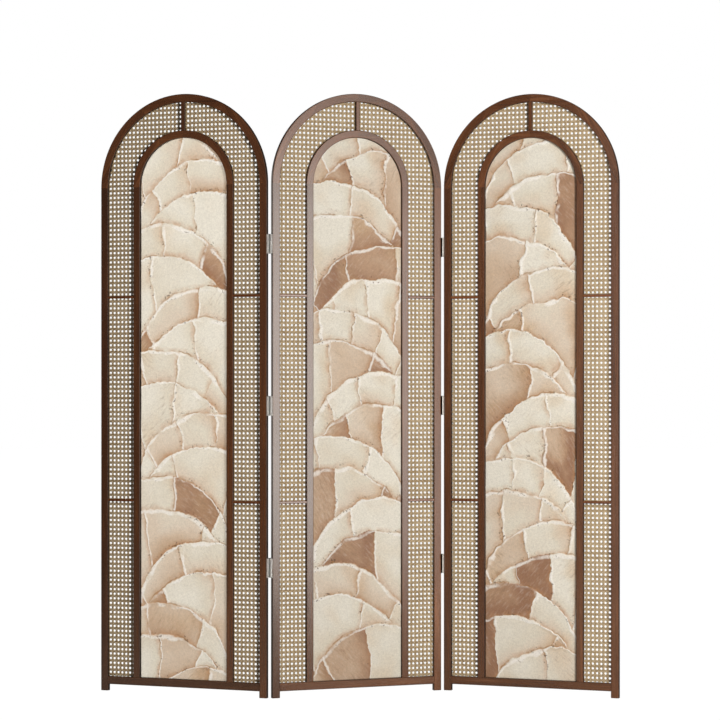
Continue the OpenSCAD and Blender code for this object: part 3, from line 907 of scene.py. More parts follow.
@dataclass(frozen=True)
class Webbing:
    """Geometry Nodes that weave one sheet and trim it to its opening.

    The trees work in an opened-out frame: out is the distance from the panel's middle line, up is the height.
    """

    strand_sides: int = 5
    merge_distance: float = 0.15 * MM
    shortest: float = 1.0 * MM
    furthest_pull: float = 7.0 * MM
    spare_cells: float = 3.0
    spare_strands: float = 6.0
    cell_reach: float = 0.52
    rounding: float = 0.01

    def build(self) -> Tree:
        """Builds the tree that weaves the three sheets of one border.

        Returns:
            The tree, which has one named input for each size.
        """
        sheet = self.sheet(self.strip_sweep())
        tree = Tree.group("webbing_border", "GeometryNodeTree",
                          [GEOMETRY, "Rail Top", "Lower Bar", "Upper Bar", "Bar Height", "Tuck", "Bar Tuck",
                           ("Origin", "Vector", None), ("Turn", "Vector", None),
                           ("Material", "Material", None), *BORDER_SIZES], [GEOMETRY[:2]])
        given = tree.given
        half = given("Bar Height") * 0.5 - given("Bar Tuck")
        lower, upper = given("Lower Bar"), given("Upper Bar")
        tiers = ((given("Rail Top") - given("Tuck"), lower - half), (lower + half, upper - half),
                 (upper + half, given("Spring") + given("Outer")))
        joined = tree.add("GeometryNodeJoinGeometry")
        for low, high in tiers:
            sizes = {name: given(name) for name in BORDER_SIZES}
            tree.feed(joined.inputs[0], tree.use(sheet, Low=low, High=high, **sizes))
        tree.end(tree.add("GeometryNodeTransform", {"Geometry": joined, "Translation": given("Origin"),
                                                    "Rotation": given("Turn")}))
        return tree

    def strip_sweep(self) -> Tree:
        """Builds the group that turns lines into flat strands with a crowned face."""
        tree = Tree.group("strand_sweep", "GeometryNodeTree", [GEOMETRY, "Width", "Thickness"],
                          [GEOMETRY[:2]])
        circle = tree.add("GeometryNodeCurvePrimitiveCircle",
                          {"Resolution": self.strand_sides, "Radius": 1.0})
        crowned = tree.add("GeometryNodeTransform", {"Geometry": circle, "Rotation": (0.0, 0.0, math.pi)})
        x, y, _ = tree.split(tree.wire("GeometryNodeInputPosition"))
        flat = tree.join(x * (tree.given("Thickness") * 0.5), y * (tree.given("Width") * 0.5), 0.0)
        shaped = tree.add("GeometryNodeSetPosition", {"Geometry": tree.store(crowned, "across", y),
                                                      "Position": flat})
        merged = tree.add("GeometryNodeMergeByDistance", {"Geometry": tree.given("Geometry"),
                                                          "Distance": self.merge_distance})
        lines = tree.add("GeometryNodeMeshToCurve", {"Mesh": merged})
        facing = tree.add("GeometryNodeSetCurveNormal", {"Curve": lines, "Normal": (0.0, 1.0, 0.0)},
                          mode="FREE")
        swept = tree.add("GeometryNodeCurveToMesh", {"Curve": facing, "Profile Curve": shaped,
                                                     "Fill Caps": True})
        tree.give(Geometry=tree.wire("GeometryNodeSetShadeSmooth", {"Geometry": swept, "Shade Smooth": True}))
        return tree

    def sheet(self, sweep: Tree) -> Tree:
        """Builds the group that weaves one sheet out of its four families of strands.

        Args:
            sweep: the group that gives a line its width.

        Returns:
            The group.
        """
        tree = Tree.group("webbing_sheet", "GeometryNodeTree", ["Low", "High", *BORDER_SIZES], [GEOMETRY[:2]])
        joined = tree.add("GeometryNodeJoinGeometry")
        for family, width in zip(Strands, ("Upright Width", "Level Width", "Slant Width", "Slant Width")):
            strands = tree.use(sweep, Geometry=self.family(tree, family), Width=tree.given(width),
                               Thickness=tree.given("Thickness"))
            tree.feed(joined.inputs[0], strands)
        tree.give(Geometry=joined)
        return tree

    def family(self, tree: Tree, family: Strands) -> Wire:
        """Adds the lines of one family of strands, woven and trimmed.

        Args:
            tree: the sheet's tree.
            family: which way the strands run.

        Returns:
            The geometry, with the attributes strand and along stored on it.
        """
        low, high, depth = tree.givens("Low", "High", "Depth")
        tall, wide = (high - low) / tree.given("Row Pitch"), tree.given("Outer") / tree.given("Column Pitch")
        steps, count = {Strands.UPRIGHT: (tall, wide * 2.0), Strands.LEVEL: (wide, tall * 2.0)}.get(
            family, (tall, wide + tall))
        slanting = family in (Strands.RISING, Strands.FALLING)
        per_cell = 4.0 if slanting else 3.0
        grid = self.line_grid(tree, (steps + self.spare_cells) * per_cell, count + self.spare_strands)
        i, j, _ = tree.split(tree.wire("GeometryNodeInputPosition"))
        cell = (i / per_cell + self.rounding).floor()
        place = i - cell * per_cell
        if slanting:
            out, up, lift, along = self.slanting(tree, family, j, cell, place)
            out, up, gone = self.trim_slanting(tree, out, up)
        else:
            out, up, lift, along, gone = self.straight(tree, family, j, cell, place)
        # The lines' own numbers are read before the points move, so the values are stored first.
        for name, value in (("strand", tree.chance(j + 17.0 * family.value + low * 31.0)),
                            ("along", along), ("gone", gone)):
            grid = tree.store(grid, name, value)
        position = tree.join(tree.given("Middle") + out * tree.given("Side"), depth + lift, up)
        moved = tree.add("GeometryNodeSetPosition", {"Geometry": grid, "Position": position})
        flag = tree.wire("GeometryNodeInputNamedAttribute", {"Name": "gone"}, data_type="FLOAT")
        return tree.wire("GeometryNodeDeleteGeometry", {"Geometry": moved, "Selection": flag > 0.5},
                         domain="POINT", mode="ALL")

    @staticmethod
    def line_grid(tree: Tree, samples: Wire, lines: Wire) -> Wire:
        """Adds parallel lines whose points hold their own number in x and their line's number in y."""
        one = tree.add("GeometryNodeMeshLine", {"Count": samples, "Offset": (1.0, 0.0, 0.0)})
        every = tree.add("GeometryNodeMeshLine", {"Count": lines, "Offset": (0.0, 1.0, 0.0)})
        placed = tree.add("GeometryNodeInstanceOnPoints", {"Points": every, "Instance": one})
        return tree.wire("GeometryNodeRealizeInstances", {"Geometry": placed})

    def straight(self, tree: Tree, family: Strands, j: Wire, cell: Wire, place: Wire) -> tuple[Wire, ...]:
        """Places and trims upright or level strands.

        Args:
            tree: the sheet's tree.
            family: UPRIGHT or LEVEL.
            j: number of the strand.
            cell: number of the mesh that the point is in, along the strand.
            place: 0 and 1 where the strand passes the crossing pair, 2 midway to the next.

        Returns:
            Distance out, height, lift off the sheet's middle, distance along the strand, and 1 where the
            point is cut away.
        """
        upright = family is Strands.UPRIGHT
        column = tree.givens("Column Pitch", "Column Shift", "Upright Spread", "Bar")
        row = tree.givens("Row Pitch", "Row Shift", "Level Spread", "Low")
        (pitch_a, shift_a, spread_a, start_a), (pitch_b, shift_b, spread_b, start_b) = (
            (column, row) if upright else (row, column))
        pair = (j / 2.0 + self.rounding).floor()
        which = j - pair * 2.0
        first_a = (start_a / pitch_a - shift_a).floor()
        a = (pair + first_a + shift_a) * pitch_a + (which * 2.0 - 1.0) * spread_a
        first_b = (start_b / pitch_b - shift_b).floor() - 1.0
        passing = place < 1.5
        off_b = passing.either(pitch_b * 0.5, (place * 2.0 - 1.0) * spread_b)
        b = (cell + first_b + shift_b) * pitch_b + off_b
        same = (which - place).size() < 0.5
        lift = (same * 2.0 - 1.0) * tree.given("Pair Wave") * passing * (1.0 if upright else -1.0)
        bottom, top, bar = tree.givens("Low", "High", "Bar")
        outer, inner, spring = tree.givens("Outer", "Inner", "Spring")
        if upright:
            low = (a < inner).either(bottom, spring + (inner * inner - a * a).root()).most(bottom)
            high = top.least(spring + (outer * outer - a * a).root())
            outside = (a > outer).most(a < bar)
        else:
            rise = (a - spring).most(0.0)
            low = (inner * inner - rise * rise).root().most(bar)
            high = (outer * outer - rise * rise).root()
            outside = (a > top).most(a < bottom)
        kept = b.most(low).least(high)
        far = (b - kept).size() > pitch_b * self.cell_reach
        gone = far.most(outside).most(low > high - self.shortest)
        return (*((a, kept) if upright else (kept, a)), lift, b, gone)

    @staticmethod
    def slanting(tree: Tree, family: Strands, j: Wire, cell: Wire, place: Wire) -> tuple[Wire, ...]:
        """Places the single strands that cross the corners of the meshes.

        Args:
            tree: the sheet's tree.
            family: RISING away from the panel's middle, or FALLING.
            j: number of the strand.
            cell: number of the mesh that the point is in.
            place: 0 and 1 round the middle of a level pair, 2 and 3 round the middle of an upright pair.

        Returns:
            Distance out, height, lift off the sheet's middle and distance along the strand.
        """
        low, rows, column_shift, row_shift = tree.givens("Low", "Row Pitch", "Column Shift", "Row Shift")
        beside = place > 1.5
        second = ((place - beside * 2.0) * 2.0 - 1.0) * tree.given("Slant Hold")
        step = cell + beside * 0.5 + second
        first = (low / rows - row_shift).floor() - 1.0
        up = (step + first + row_shift) * rows
        if family is Strands.RISING:
            start = (j - (tree.given("High") - low) / rows - 4.0).floor() + step
            side = beside * 2.0 - 1.0
        else:
            start = j - 3.0 - step
            side = beside * -2.0 + 1.0
        out = (start + column_shift + 0.5) * tree.given("Column Pitch")
        slope_length = 1.36
        return out, up, side * tree.given("Slant Wave"), up * slope_length

    def trim_slanting(self, tree: Tree, out: Wire, up: Wire) -> tuple[Wire, Wire, Wire]:
        """Pulls points that lie just outside the sheet back to its edge, and marks those further out.

        Args:
            tree: the sheet's tree.
            out: distance from the panel's middle line.
            up: height.

        Returns:
            The new distance and height, and 1 where the point is cut away.
        """
        outer, inner, low, high, bar = tree.givens("Outer", "Inner", "Low", "High", "Bar")
        kept_up = up.most(low).least(high)
        rise = (kept_up - tree.given("Spring")).most(0.0)
        radius = (out * out + rise * rise).root().most(self.shortest)
        pulled = radius.most(inner).least(outer) / radius
        kept_out = (out * pulled).most(bar)
        arched_up = kept_up + rise * (pulled - 1.0)
        moved = ((kept_out - out) * (kept_out - out) + (arched_up - up) * (arched_up - up)).root()
        return kept_out, arched_up.least(high), moved > self.furthest_pull


@dataclass(frozen=True)
class CaneBorder:
    """The cane webbing of one border, three sheets that fit the grooves of the frame."""

    panel: Panel
    side: str
    weave: Weave
    column_shift: float
    row_shift: float

    def sizes(self) -> dict[str, object]:
        """The inputs of the webbing tree for this border, by name."""
        panel = self.panel
        low, high = panel.span(f"cane_{self.side}")
        near = low.x if self.side == "left" else 2 * panel.middle - high.x
        tuck = (panel.middle - near) - panel.opening_radius
        lower, upper, bar = panel.cross_bars
        return {
            **self.weave.inputs(), "Column Shift": self.column_shift, "Row Shift": self.row_shift,
            "Rail Top": panel.rail_top, "Lower Bar": lower, "Upper Bar": upper, "Bar Height": bar,
            "Tuck": tuck, "Origin": (*panel.origin, 0.0), "Turn": (0.0, 0.0, panel.turn),
            "Outer": panel.opening_radius + tuck, "Inner": panel.inner_radius - tuck,
            "Bar": panel.crown_bar / 2 - self.weave.bar_tuck, "Middle": panel.middle, "Spring": panel.spring,
            "Side": -1.0 if self.side == "left" else 1.0, "Depth": (low.y + high.y) / 2,
        }

    def build(self, tree: Tree, material: bpy.types.Material) -> None:
        """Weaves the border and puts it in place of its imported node.

        Args:
            tree: the webbing tree.
            material: the cane.
        """
        name = f"{self.panel.name}_webbing_{self.side}"
        obj = run_nodes(name, bpy.data.meshes.new(name), tree, {**self.sizes(), "Material": material})
        hand_over(obj, self.panel.body, f"{self.panel.name}_cane_{self.side}")


def put_in_scene(name: str, data: bpy.types.ID) -> bpy.types.Object:
    """Makes an object of a mesh, a light or a camera, and links it to the scene."""
    obj = bpy.data.objects.new(name, data)
    bpy.context.scene.collection.objects.link(obj)
    return obj


def hand_over(obj: bpy.types.Object, body: str, node: str) -> None:
    """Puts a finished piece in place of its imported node, and logs its count of triangles.

    Args:
        obj: the piece.
        body: the moving body that it rides on.
        node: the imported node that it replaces.
    """
    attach(obj, body)
    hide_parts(node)
    obj.data.calc_loop_triangles()
    LOG.info("made %s: %d triangles", obj.name, len(obj.data.loop_triangles))


def run_nodes(name: str, mesh: bpy.types.Mesh, tree: Tree, inputs: dict[str, object]) -> bpy.types.Object:
    """Runs a Geometry Nodes tree on a mesh and keeps the result as a plain mesh.

    Args:
        name: name of the new object.
        mesh: what the tree starts from.
        tree: the tree.
        inputs: values for the tree's inputs, by name.

    Returns:
        An object whose mesh is the tree's result, with no modifier left.
    """
    work = put_in_scene(name + "_work", mesh)
    modifier = work.modifiers.new("nodes", "NODES")
    modifier.node_group = tree.tree
    sockets = {s.name: s.identifier for s in tree.tree.interface.items_tree
               if s.item_type == "SOCKET" and s.in_out == "INPUT"}
    for label, value in inputs.items():
        modifier[sockets[label]] = value
    bpy.context.view_layer.update()
    evaluated = work.evaluated_get(bpy.context.evaluated_depsgraph_get())
    result = bpy.data.meshes.new_from_object(evaluated)
    result.name = name
    bpy.data.objects.remove(work)
    return put_in_scene(name, result)


# ---- Plaster ----


STROKES_IN_BAND = 6
WAVE_COUNT = 12
WAVE_LEVEL = 0.25


def waves(x: np.ndarray, z: np.ndarray, rng: np.random.Generator, shortest: float,
          longest: float) -> np.ndarray:
    """Smooth noise from about -1 to 1, as a sum of waves in chance directions.

    Args:
        x: places across.
        z: heights.
        rng: source of random numbers.
        shortest: the shortest wavelength.
        longest: the longest wavelength.

    Returns:
        The noise at each point.
    """
    total = np.zeros(x.shape)
    for _ in range(WAVE_COUNT):
        length = rng.uniform(shortest, longest)
        heading, phase = rng.uniform(0, 2 * math.pi, 2)
        total += np.sin((x * math.cos(heading) + z * math.sin(heading)) * 2 * math.pi / length + phase)
    return total * WAVE_LEVEL


def fall(distance: np.ndarray, near: float, far: float) -> np.ndarray:
    """1 up to the near distance, 0 from the far distance, and a smooth slope between."""
    t = np.clip((far - distance) / (far - near), 0, 1)
    return t * t * (3 - 2 * t)


@dataclass
class Strokes:
    """For each point of a coat, the knife stroke it is in and its distances from that stroke's edges."""

    number: np.ndarray
    lip: np.ndarray
    side: np.ndarray
    far: np.ndarray
    depth: np.ndarray

    @classmethod
    def blank(cls, shape: tuple[int, ...]) -> "Strokes":
        """A coat with no strokes yet, far from every edge."""
        return cls(np.zeros(shape), *(np.ones(shape) for _ in range(4)))

    def lay(self, inside: np.ndarray, run: np.ndarray, length: float, first: int) -> None:
        """Lays a band of new strokes over the old.

        Args:
            inside: distance inside the band's upper edge, less than 0 outside it.
            run: place along the band, in strokes.
            length: length of a stroke.
            first: number of the band's first stroke.
        """
        here = inside > 0
        turn = np.floor(run)
        self.number = np.where(here, first + turn % STROKES_IN_BAND, self.number)
        self.lip = np.where(here, inside, self.lip)
        self.side = np.where(here, (run - turn) * length, self.side)
        self.far = np.where(here, (turn + 1 - run) * length, self.far)
        self.depth = np.where(here, 1.0, np.minimum(self.depth, -inside))


class Tone(Enum):
    """Colours of plaster, as places on the finish's row of colours from light to dark."""

    CREAM = 0.06
    IVORY = 0.21
    BLUSH = 0.38
    SAND = 0.56
    TAN = 0.77
    COCOA = 0.95


@dataclass(frozen=True)
class PlasterCoat:
    """The coat on one board: swells that rise from alternate sides, each laid in fanned strokes."""

    panel: Panel
    start_share: float
    seed: int
    tone_shares: tuple[float, ...] = (0.32, 0.28, 0.17, 0.11, 0.07, 0.05)
    swell_radius: float = 230 * MM
    swell_rise: float = 190 * MM
    bands: int = 2
    fan_drop: float = 260 * MM
    stroke_lengths: tuple[float, float] = (110 * MM, 230 * MM)
    thickness: float = 1.75 * MM
    step: float = 2.45 * MM
    ridge_height: float = 1.0 * MM
    ridge_width: float = 3.4 * MM
    stroke_height: float = 0.6 * MM
    comb_pitch: float = 7.0 * MM
    crown_cut: float = math.radians(87)
    comb_heading: float = 45.0
    comb_scatter: float = 9.0
    soak_down: float = 70 * MM
    soak_back: float = 80 * MM
    near_full: float = 14 * MM
    near_end: float = 19 * MM
    setback: float = 0.6 * MM
    thinnest: float = 0.4 * MM

    def grid(self) -> tuple[np.ndarray, np.ndarray]:
        """Places of the coat's points in the panel frame.

        Returns:
            x and z, each with one row for each level line and one column for each upright line.
        """
        panel = self.panel
        low, _ = panel.span("plaster")
        radius = panel.middle - low.x
        straight = np.arange(low.z, panel.spring, self.step)
        arc = np.linspace(0.0, self.crown_cut, int(radius * self.crown_cut / self.step))
        z = np.concatenate([straight, panel.spring + radius * np.sin(arc)])
        half = np.concatenate([np.full(len(straight), radius), radius * np.cos(arc)])
        columns = int(2 * radius / self.step)
        u = np.linspace(-1.0, 1.0, columns)
        return panel.middle + half[:, None] * u[None, :], np.repeat(z[:, None], columns, axis=1)

    def build(self, material: bpy.types.Material) -> None:
        """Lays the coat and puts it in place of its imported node."""
        x, z = self.grid()
        height, marks = self.relief(x, z)
        back = self.panel.span("plaster")[1].y
        board = self.panel.span("board")[0].y
        front = np.clip(board - height, self.setback, back - self.thinnest)
        obj = self.closed_sheet(f"{self.panel.name}_plaster_coat", x, z, front, back, marks)
        obj.data.materials.append(material)
        hand_over(obj, self.panel.body, f"{self.panel.name}_plaster")

    def relief(self, x: np.ndarray, z: np.ndarray) -> tuple[np.ndarray, dict[str, np.ndarray]]:
        """Works out the coat's thickness and the marks of its strokes.

        Args:
            x: places across the panel.
            z: heights.

        Returns:
            The thickness at each point, and the values that the finish reads, by name.
        """
        panel = self.panel
        rng = np.random.default_rng(self.seed)
        slow = waves(x, z, rng, 60 * MM, 220 * MM)
        mid = waves(x, z, rng, 28 * MM, 70 * MM)
        jag = waves(x, z, rng, 9 * MM, 24 * MM)
        start = panel.rail_top + self.swell_rise * self.start_share
        count = int(math.ceil((panel.spring + panel.board_radius - start) / self.swell_rise)) + 1
        laid = Strokes.blank(x.shape)
        for band in range(count * self.bands, -1, -1):
            swell = -(-band // self.bands)
            side = 1 if swell % 2 == 0 else -1
            top = start + band * self.swell_rise / self.bands
            dx = x - (panel.middle + side * panel.board_radius / 2)
            dz = z - (top - self.swell_radius)
            inside = self.swell_radius - np.hypot(dx, dz) + slow * 5 * MM + mid * 2 * MM + jag * 1.1 * MM
            length = rng.uniform(*self.stroke_lengths)
            along = np.arctan2(dx, dz + self.fan_drop) * (self.swell_radius + self.fan_drop)
            run = (along + slow * 7 * MM - mid * 3 * MM - jag * 1.2 * MM) / length + rng.uniform(0, 1)
            laid.lay(inside, run, length, band * STROKES_IN_BAND)
        return self.strokes(x, z, laid, slow, jag, rng)

    def strokes(self, x: np.ndarray, z: np.ndarray, laid: "Strokes", slow: np.ndarray, jag: np.ndarray,
                rng: np.random.Generator) -> tuple[np.ndarray, dict[str, np.ndarray]]:
        """Gives each stroke its tone, level and combing.

        Args:
            x: places across the panel.
            z: heights.
            laid: which stroke each point is in, and how far it is from the stroke's edges.
            slow: broad noise from about -1 to 1.
            jag: fine noise from about -1 to 1.
            rng: the coat's own source of random numbers.

        Returns:
            The thickness at each point, and the values that the finish reads, by name.
        """
        stroke = laid.number.astype(int)
        size = int(stroke.max()) + 1
        picks = rng.choice(len(Tone), size, p=self.tone_shares)
        tones = np.array([tone.value for tone in Tone])[picks]
        shade = (tones + rng.uniform(-0.05, 0.05, size))[stroke]
        level, tilt, cross = (rng.uniform(-1, 1, size)[stroke] for _ in range(3))
        scatter = rng.normal(self.comb_heading, self.comb_scatter, size)
        heading = np.radians(scatter * rng.choice([-1, 1], size))[stroke]
        combed = (rng.uniform(0.05, 0.4, size) + np.clip(tones - 0.4, 0, 1) * 1.4)[stroke]
        soaked, drawn = (rng.uniform(0, 1, size)[stroke] for _ in range(2))
        broken = np.clip(0.75 + 0.4 * slow + 0.3 * jag, 0, 1.2)
        lip, seam = (np.exp(-((edge - self.ridge_width) / self.ridge_width) ** 2)
                     for edge in (laid.lip, laid.side))
        ridge = np.maximum(lip * broken, 0.8 * (seam * np.clip(broken * 1.2 - 0.2, 0, 1)))
        under = fall(laid.depth, 0.6 * MM, 4.0 * MM) * np.clip(0.5 + 0.6 * slow + 0.3 * jag, 0, 1)
        beside = fall(laid.far, 0.6 * MM, 3.4 * MM) * np.clip(0.4 - 0.6 * slow + 0.3 * jag, 0, 1)
        rise = np.clip(laid.lip / self.swell_rise * self.bands, 0, 1) - 0.5
        lean = laid.side / (laid.side + laid.far) - 0.5
        height = (self.thickness + self.stroke_height * (0.4 * level + 0.5 * tilt * rise + 0.6 * cross * lean)
                  + 0.14 * MM * slow + self.ridge_height * ridge
                  - self.stroke_height * np.maximum(under, beside))
        marks = {
            "shade": np.clip(shade + 0.04 * slow + 0.12 * tilt * rise + 0.1 * level * lean, 0, 1),
            "warm": np.clip(0.25 + 0.5 * cross * lean * 2 + 0.4 * slow, 0, 1),
            "stain": np.maximum(fall(laid.depth, 0.0, self.soak_down) * soaked,
                                fall(laid.far, 0.0, self.soak_back) * drawn),
            "lip": np.where(laid.lip < laid.depth, laid.lip, -laid.depth),
            "lip_near": fall(np.minimum(laid.lip, laid.depth), self.near_full, self.near_end),
            "seam": np.where(laid.side < laid.far, laid.side, -laid.far),
            "seam_near": fall(np.minimum(laid.side, laid.far), self.near_full, self.near_end),
            "comb": (x * np.cos(heading) - z * np.sin(heading)) * 2 * math.pi / self.comb_pitch,
            "combed": np.clip(combed * (0.8 + 0.4 * slow), 0, 1),
        }
        return height, marks

    def closed_sheet(self, name: str, x: np.ndarray, z: np.ndarray, front: np.ndarray, back: float,
                     marks: dict[str, np.ndarray]) -> bpy.types.Object:
        """Makes a closed mesh from a grid of front depths and a flat back.

        Args:
            name: name of the object.
            x: places across the panel, by row and column.
            z: heights, by row and column.
            front: depth of the front at each point.
            back: depth of the flat back.
            marks: values to store on the front's points, by name. The back's points repeat them.

        Returns:
            The object.
        """
        rows, columns = x.shape
        count = rows * columns
        points = np.concatenate([np.stack([x, front, z], -1).reshape(-1, 3),
                                 np.stack([x, np.full_like(x, back), z], -1).reshape(-1, 3)])
        index = np.arange(count).reshape(rows, columns)
        quads = np.stack([index[:-1, :-1], index[:-1, 1:], index[1:, 1:], index[1:, :-1]], -1).reshape(-1, 4)
        rim = np.concatenate([index[0, :], index[1:, -1], index[-1, -2::-1], index[-2:0:-1, 0]])
        ahead = np.roll(rim, -1)
        walls = np.stack([rim, rim + count, ahead + count, ahead], -1)
        outline = [int(v) + count for v in rim[::-1]]
        mesh = bpy.data.meshes.new(name)
        mesh.from_pydata(self.panel.to_row(points).tolist(), [], [*quads.tolist(), *walls.tolist(), outline])
        mesh.update()
        for label, values in marks.items():
            attribute = mesh.attributes.new(label, "FLOAT", "POINT")
            attribute.data.foreach_set("value", np.tile(values.ravel(), 2).astype(np.float32))
        smooth = np.zeros(len(mesh.polygons), bool)
        smooth[:len(quads)] = True
        mesh.polygons.foreach_set("use_smooth", smooth)
        mesh.update()
        return put_in_scene(name, mesh)


# ---- Hinges ----


# Painted light: lit and shaded copies of the hinge steel, a white one where light falls, near-black centre
# leaves at the right junction where shade falls, and pale side leaves there.
PAINTED_LIT_LEAF = BrushedSteel(colour=tint("#ffffff"), dull=tint("#f0f1f0"), roughness=0.55)
SHADED_LEAF = BrushedSteel(colour=tint("#3a3a3a"), dull=tint("#1c1c1c"), roughness=0.4,
                           knuckle=tint("#e6e6e3"), knuckle_left=tint("#161616"))
PALE_LEAF = BrushedSteel(colour=tint("#f4f4f2"), dull=tint("#d9dad8"), roughness=0.45,
                         knuckle=tint("#eeeeeb"), knuckle_left=tint("#161616"))
HINGE_STEEL = {("right", "centre_leaves"): SHADED_LEAF, ("right", "side_leaves"): PALE_LEAF}


@dataclass(frozen=True)
class Hinges:
    """The three hinges of one junction: packed leaves and pins, with screws that have a cross recess."""

    junction: str
    groups: SharedGroups
    screw_roughness: float = 0.22

    def dress(self, screw: "Screw", tree: Tree) -> None:
        """Finishes the hinges.

        Args:
            screw: the screw to put in each packed screw's place.
            tree: the tree that places the screws.
        """
        pins = node_points(f"{self.junction}_hinge_pins")
        middle = (pins.min(axis=0) + pins.max(axis=0)) / 2
        axis = (float(middle[0]), float(middle[1]))
        for piece in ("side_leaves", "centre_leaves", "pins"):
            steel = HINGE_STEEL.get((self.junction, piece), PAINTED_LIT_LEAF)
            node = f"{self.junction}_hinge_{piece}"
            dress_node(node, steel.material(f"{node}_steel", self.groups, axis))
        bright = BrushedSteel(roughness=self.screw_roughness)
        steel = bright.material(f"screw_steel_{self.junction}", self.groups)
        for piece, body in (("side_screws", f"{self.junction}_panel"), ("centre_screws", "middle_panel")):
            node = f"{self.junction}_hinge_{piece}"
            hand_over(screw.place(node, tree, steel), body, node)


@dataclass(frozen=True)
class Screw:
    """A countersunk wood screw with a cross recess."""

    head_radius: float = 2.9 * MM
    head_height: float = 1.3 * MM
    head_rim: float = 0.15 * MM
    shank_radius: float = 1.5 * MM
    length: float = 13.8 * MM
    tip_length: float = 3.0 * MM
    tip_radius: float = 0.2 * MM
    recess: float = 0.7 * MM
    slot_length: float = 1.9 * MM
    slot_width: float = 0.42 * MM
    thread_turns: int = 6
    thread_drop: float = 0.3 * MM
    thread_root: float = 0.8

    def mesh(self) -> bpy.types.Mesh:
        """Makes one screw along +z, with its head's face at 0 and its tip below."""
        bm = bmesh.new()
        last = self.cross(bm, 0.0)
        floor = self.cross(bm, -self.recess)
        bridge(bm, last, floor)
        bm.faces.new(floor[::-1])
        profile = [(self.head_radius, -self.head_rim), (self.shank_radius, -self.head_height)]
        body = self.length - self.head_height - self.tip_length
        for turn in range(self.thread_turns):
            z = -self.head_height - body * (turn + 0.5) / self.thread_turns
            profile += [(self.shank_radius * self.thread_root, z), (self.shank_radius, z - self.thread_drop)]
        for radius, z in (*profile, (self.tip_radius, -self.length)):
            circle = self.circle(bm, radius, z, len(floor))
            bridge(bm, last, circle)
            last = circle
        bm.faces.new(last)
        bmesh.ops.recalc_face_normals(bm, faces=bm.faces)
        made = bpy.data.meshes.new("screw")
        bm.to_mesh(made)
        bm.free()
        return made

    def cross(self, bm: bmesh.types.BMesh, z: float) -> list[bmesh.types.BMVert]:
        """Outline of the cross recess at a height, anticlockwise."""
        length, width = self.slot_length, self.slot_width
        quarter = [(length, -width), (length, width), (width, width)]
        turns = ((1, 0), (0, 1), (-1, 0), (0, -1))
        points = [(x * c - y * s, x * s + y * c) for c, s in turns for x, y in quarter]
        return [bm.verts.new((x, y, z)) for x, y in points]

    def circle(self, bm: bmesh.types.BMesh, radius: float, z: float, count: int) -> list[bmesh.types.BMVert]:
        """A circle of points that start beside the cross's first point."""
        start = -math.atan2(self.slot_width, self.slot_length)
        steps = [start + 2 * math.pi * i / count for i in range(count)]
        return [bm.verts.new((radius * math.cos(a), radius * math.sin(a), z)) for a in steps]

    def place(self, node: str, tree: Tree, material: bpy.types.Material) -> bpy.types.Object:
        """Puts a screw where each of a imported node's screws is.

        Args:
            node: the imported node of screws.
            tree: the tree that places them.
            material: the steel.

        Returns:
            One object that holds all of the node's screws.
        """
        heads, axis = screw_heads(node)
        template = put_in_scene("screw_template", self.mesh())
        start = bpy.data.meshes.new(node)
        start.from_pydata([tuple(h) for h in heads], [], [])
        turn = axis.to_track_quat("Z", "Y").to_euler()
        obj = run_nodes(node.replace("screws", "cross_screws"), start, tree,
                        {"Screw": template, "Turn": tuple(turn), "Material": material, "Seed": 3})
        bpy.data.objects.remove(template)
        return obj


def bridge(bm: bmesh.types.BMesh, upper: list, lower: list) -> None:
    """Joins two rings of as many points with a band of faces."""
    n = len(upper)
    for i in range(n):
        bm.faces.new((upper[i], upper[(i + 1) % n], lower[(i + 1) % n], lower[i]))


def screw_heads(node: str) -> tuple[list[Vector], Vector]:
    """Finds each packed screw's head, which is the largest flat face of its mesh.

    Args:
        node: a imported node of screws.

    Returns:
        The centre of each head's face, and the direction that the heads face.
    """
    bm = bmesh.new()
    bm.from_mesh(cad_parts[node].data)
    bmesh.ops.remove_doubles(bm, verts=bm.verts, dist=1e-6)
    seen: set[bmesh.types.BMVert] = set()
    heads, axis = [], Vector()
    for vert in bm.verts:
        if vert in seen:
            continue
        island, stack = {vert}, [vert]
        while stack:
            fresh = {v for edge in stack.pop().link_edges for v in edge.verts} - island
            island |= fresh
            stack.extend(fresh)
        seen |= island
        faces = {face for v in island for face in v.link_faces}
        largest = max(faces, key=lambda face: sum(f.calc_area() for f in coplanar(face, faces)))
        points = [v.co for face in coplanar(largest, faces) for v in face.verts]
        heads.append((Vector(map(min, *points)) + Vector(map(max, *points))) / 2)
        if len(heads) == 1:
            axis = largest.normal.normalized()
    bm.free()
    return heads, axis


def coplanar(face: bmesh.types.BMFace, faces: Iterable[bmesh.types.BMFace]) -> list[bmesh.types.BMFace]:
    """The faces that look the same way as one of them."""
    return [f for f in faces if (f.normal - face.normal).length < 1e-3]


def make_screw_tree() -> Tree:
    """Builds the tree that puts a screw on each point, each turned by chance about its own axis."""
    tree = Tree.group("screw_places", "GeometryNodeTree",
                      [GEOMETRY, ("Screw", "Object", None), ("Turn", "Vector", None),
                       ("Material", "Material", None), ("Seed", "Int", 0)], [GEOMETRY[:2]])
    points = tree.add("GeometryNodeMeshToPoints", {"Mesh": tree.given("Geometry")})
    shape = tree.wire("GeometryNodeObjectInfo", {"Object": tree.given("Screw")}, "Geometry")
    spin = tree.wire("FunctionNodeRandomValue", {2: 0.0, 3: math.pi, "Seed": tree.given("Seed")}, 1,
                     data_type="FLOAT")
    own = tree.add("FunctionNodeRotateRotation", {0: tree.given("Turn"), 1: tree.join(0.0, 0.0, spin)},
                   rotation_space="LOCAL")
    tree.end(tree.add("GeometryNodeInstanceOnPoints", {"Points": points, "Rotation": own, "Instance": shape}))
    return tree


# ---- Studio ----


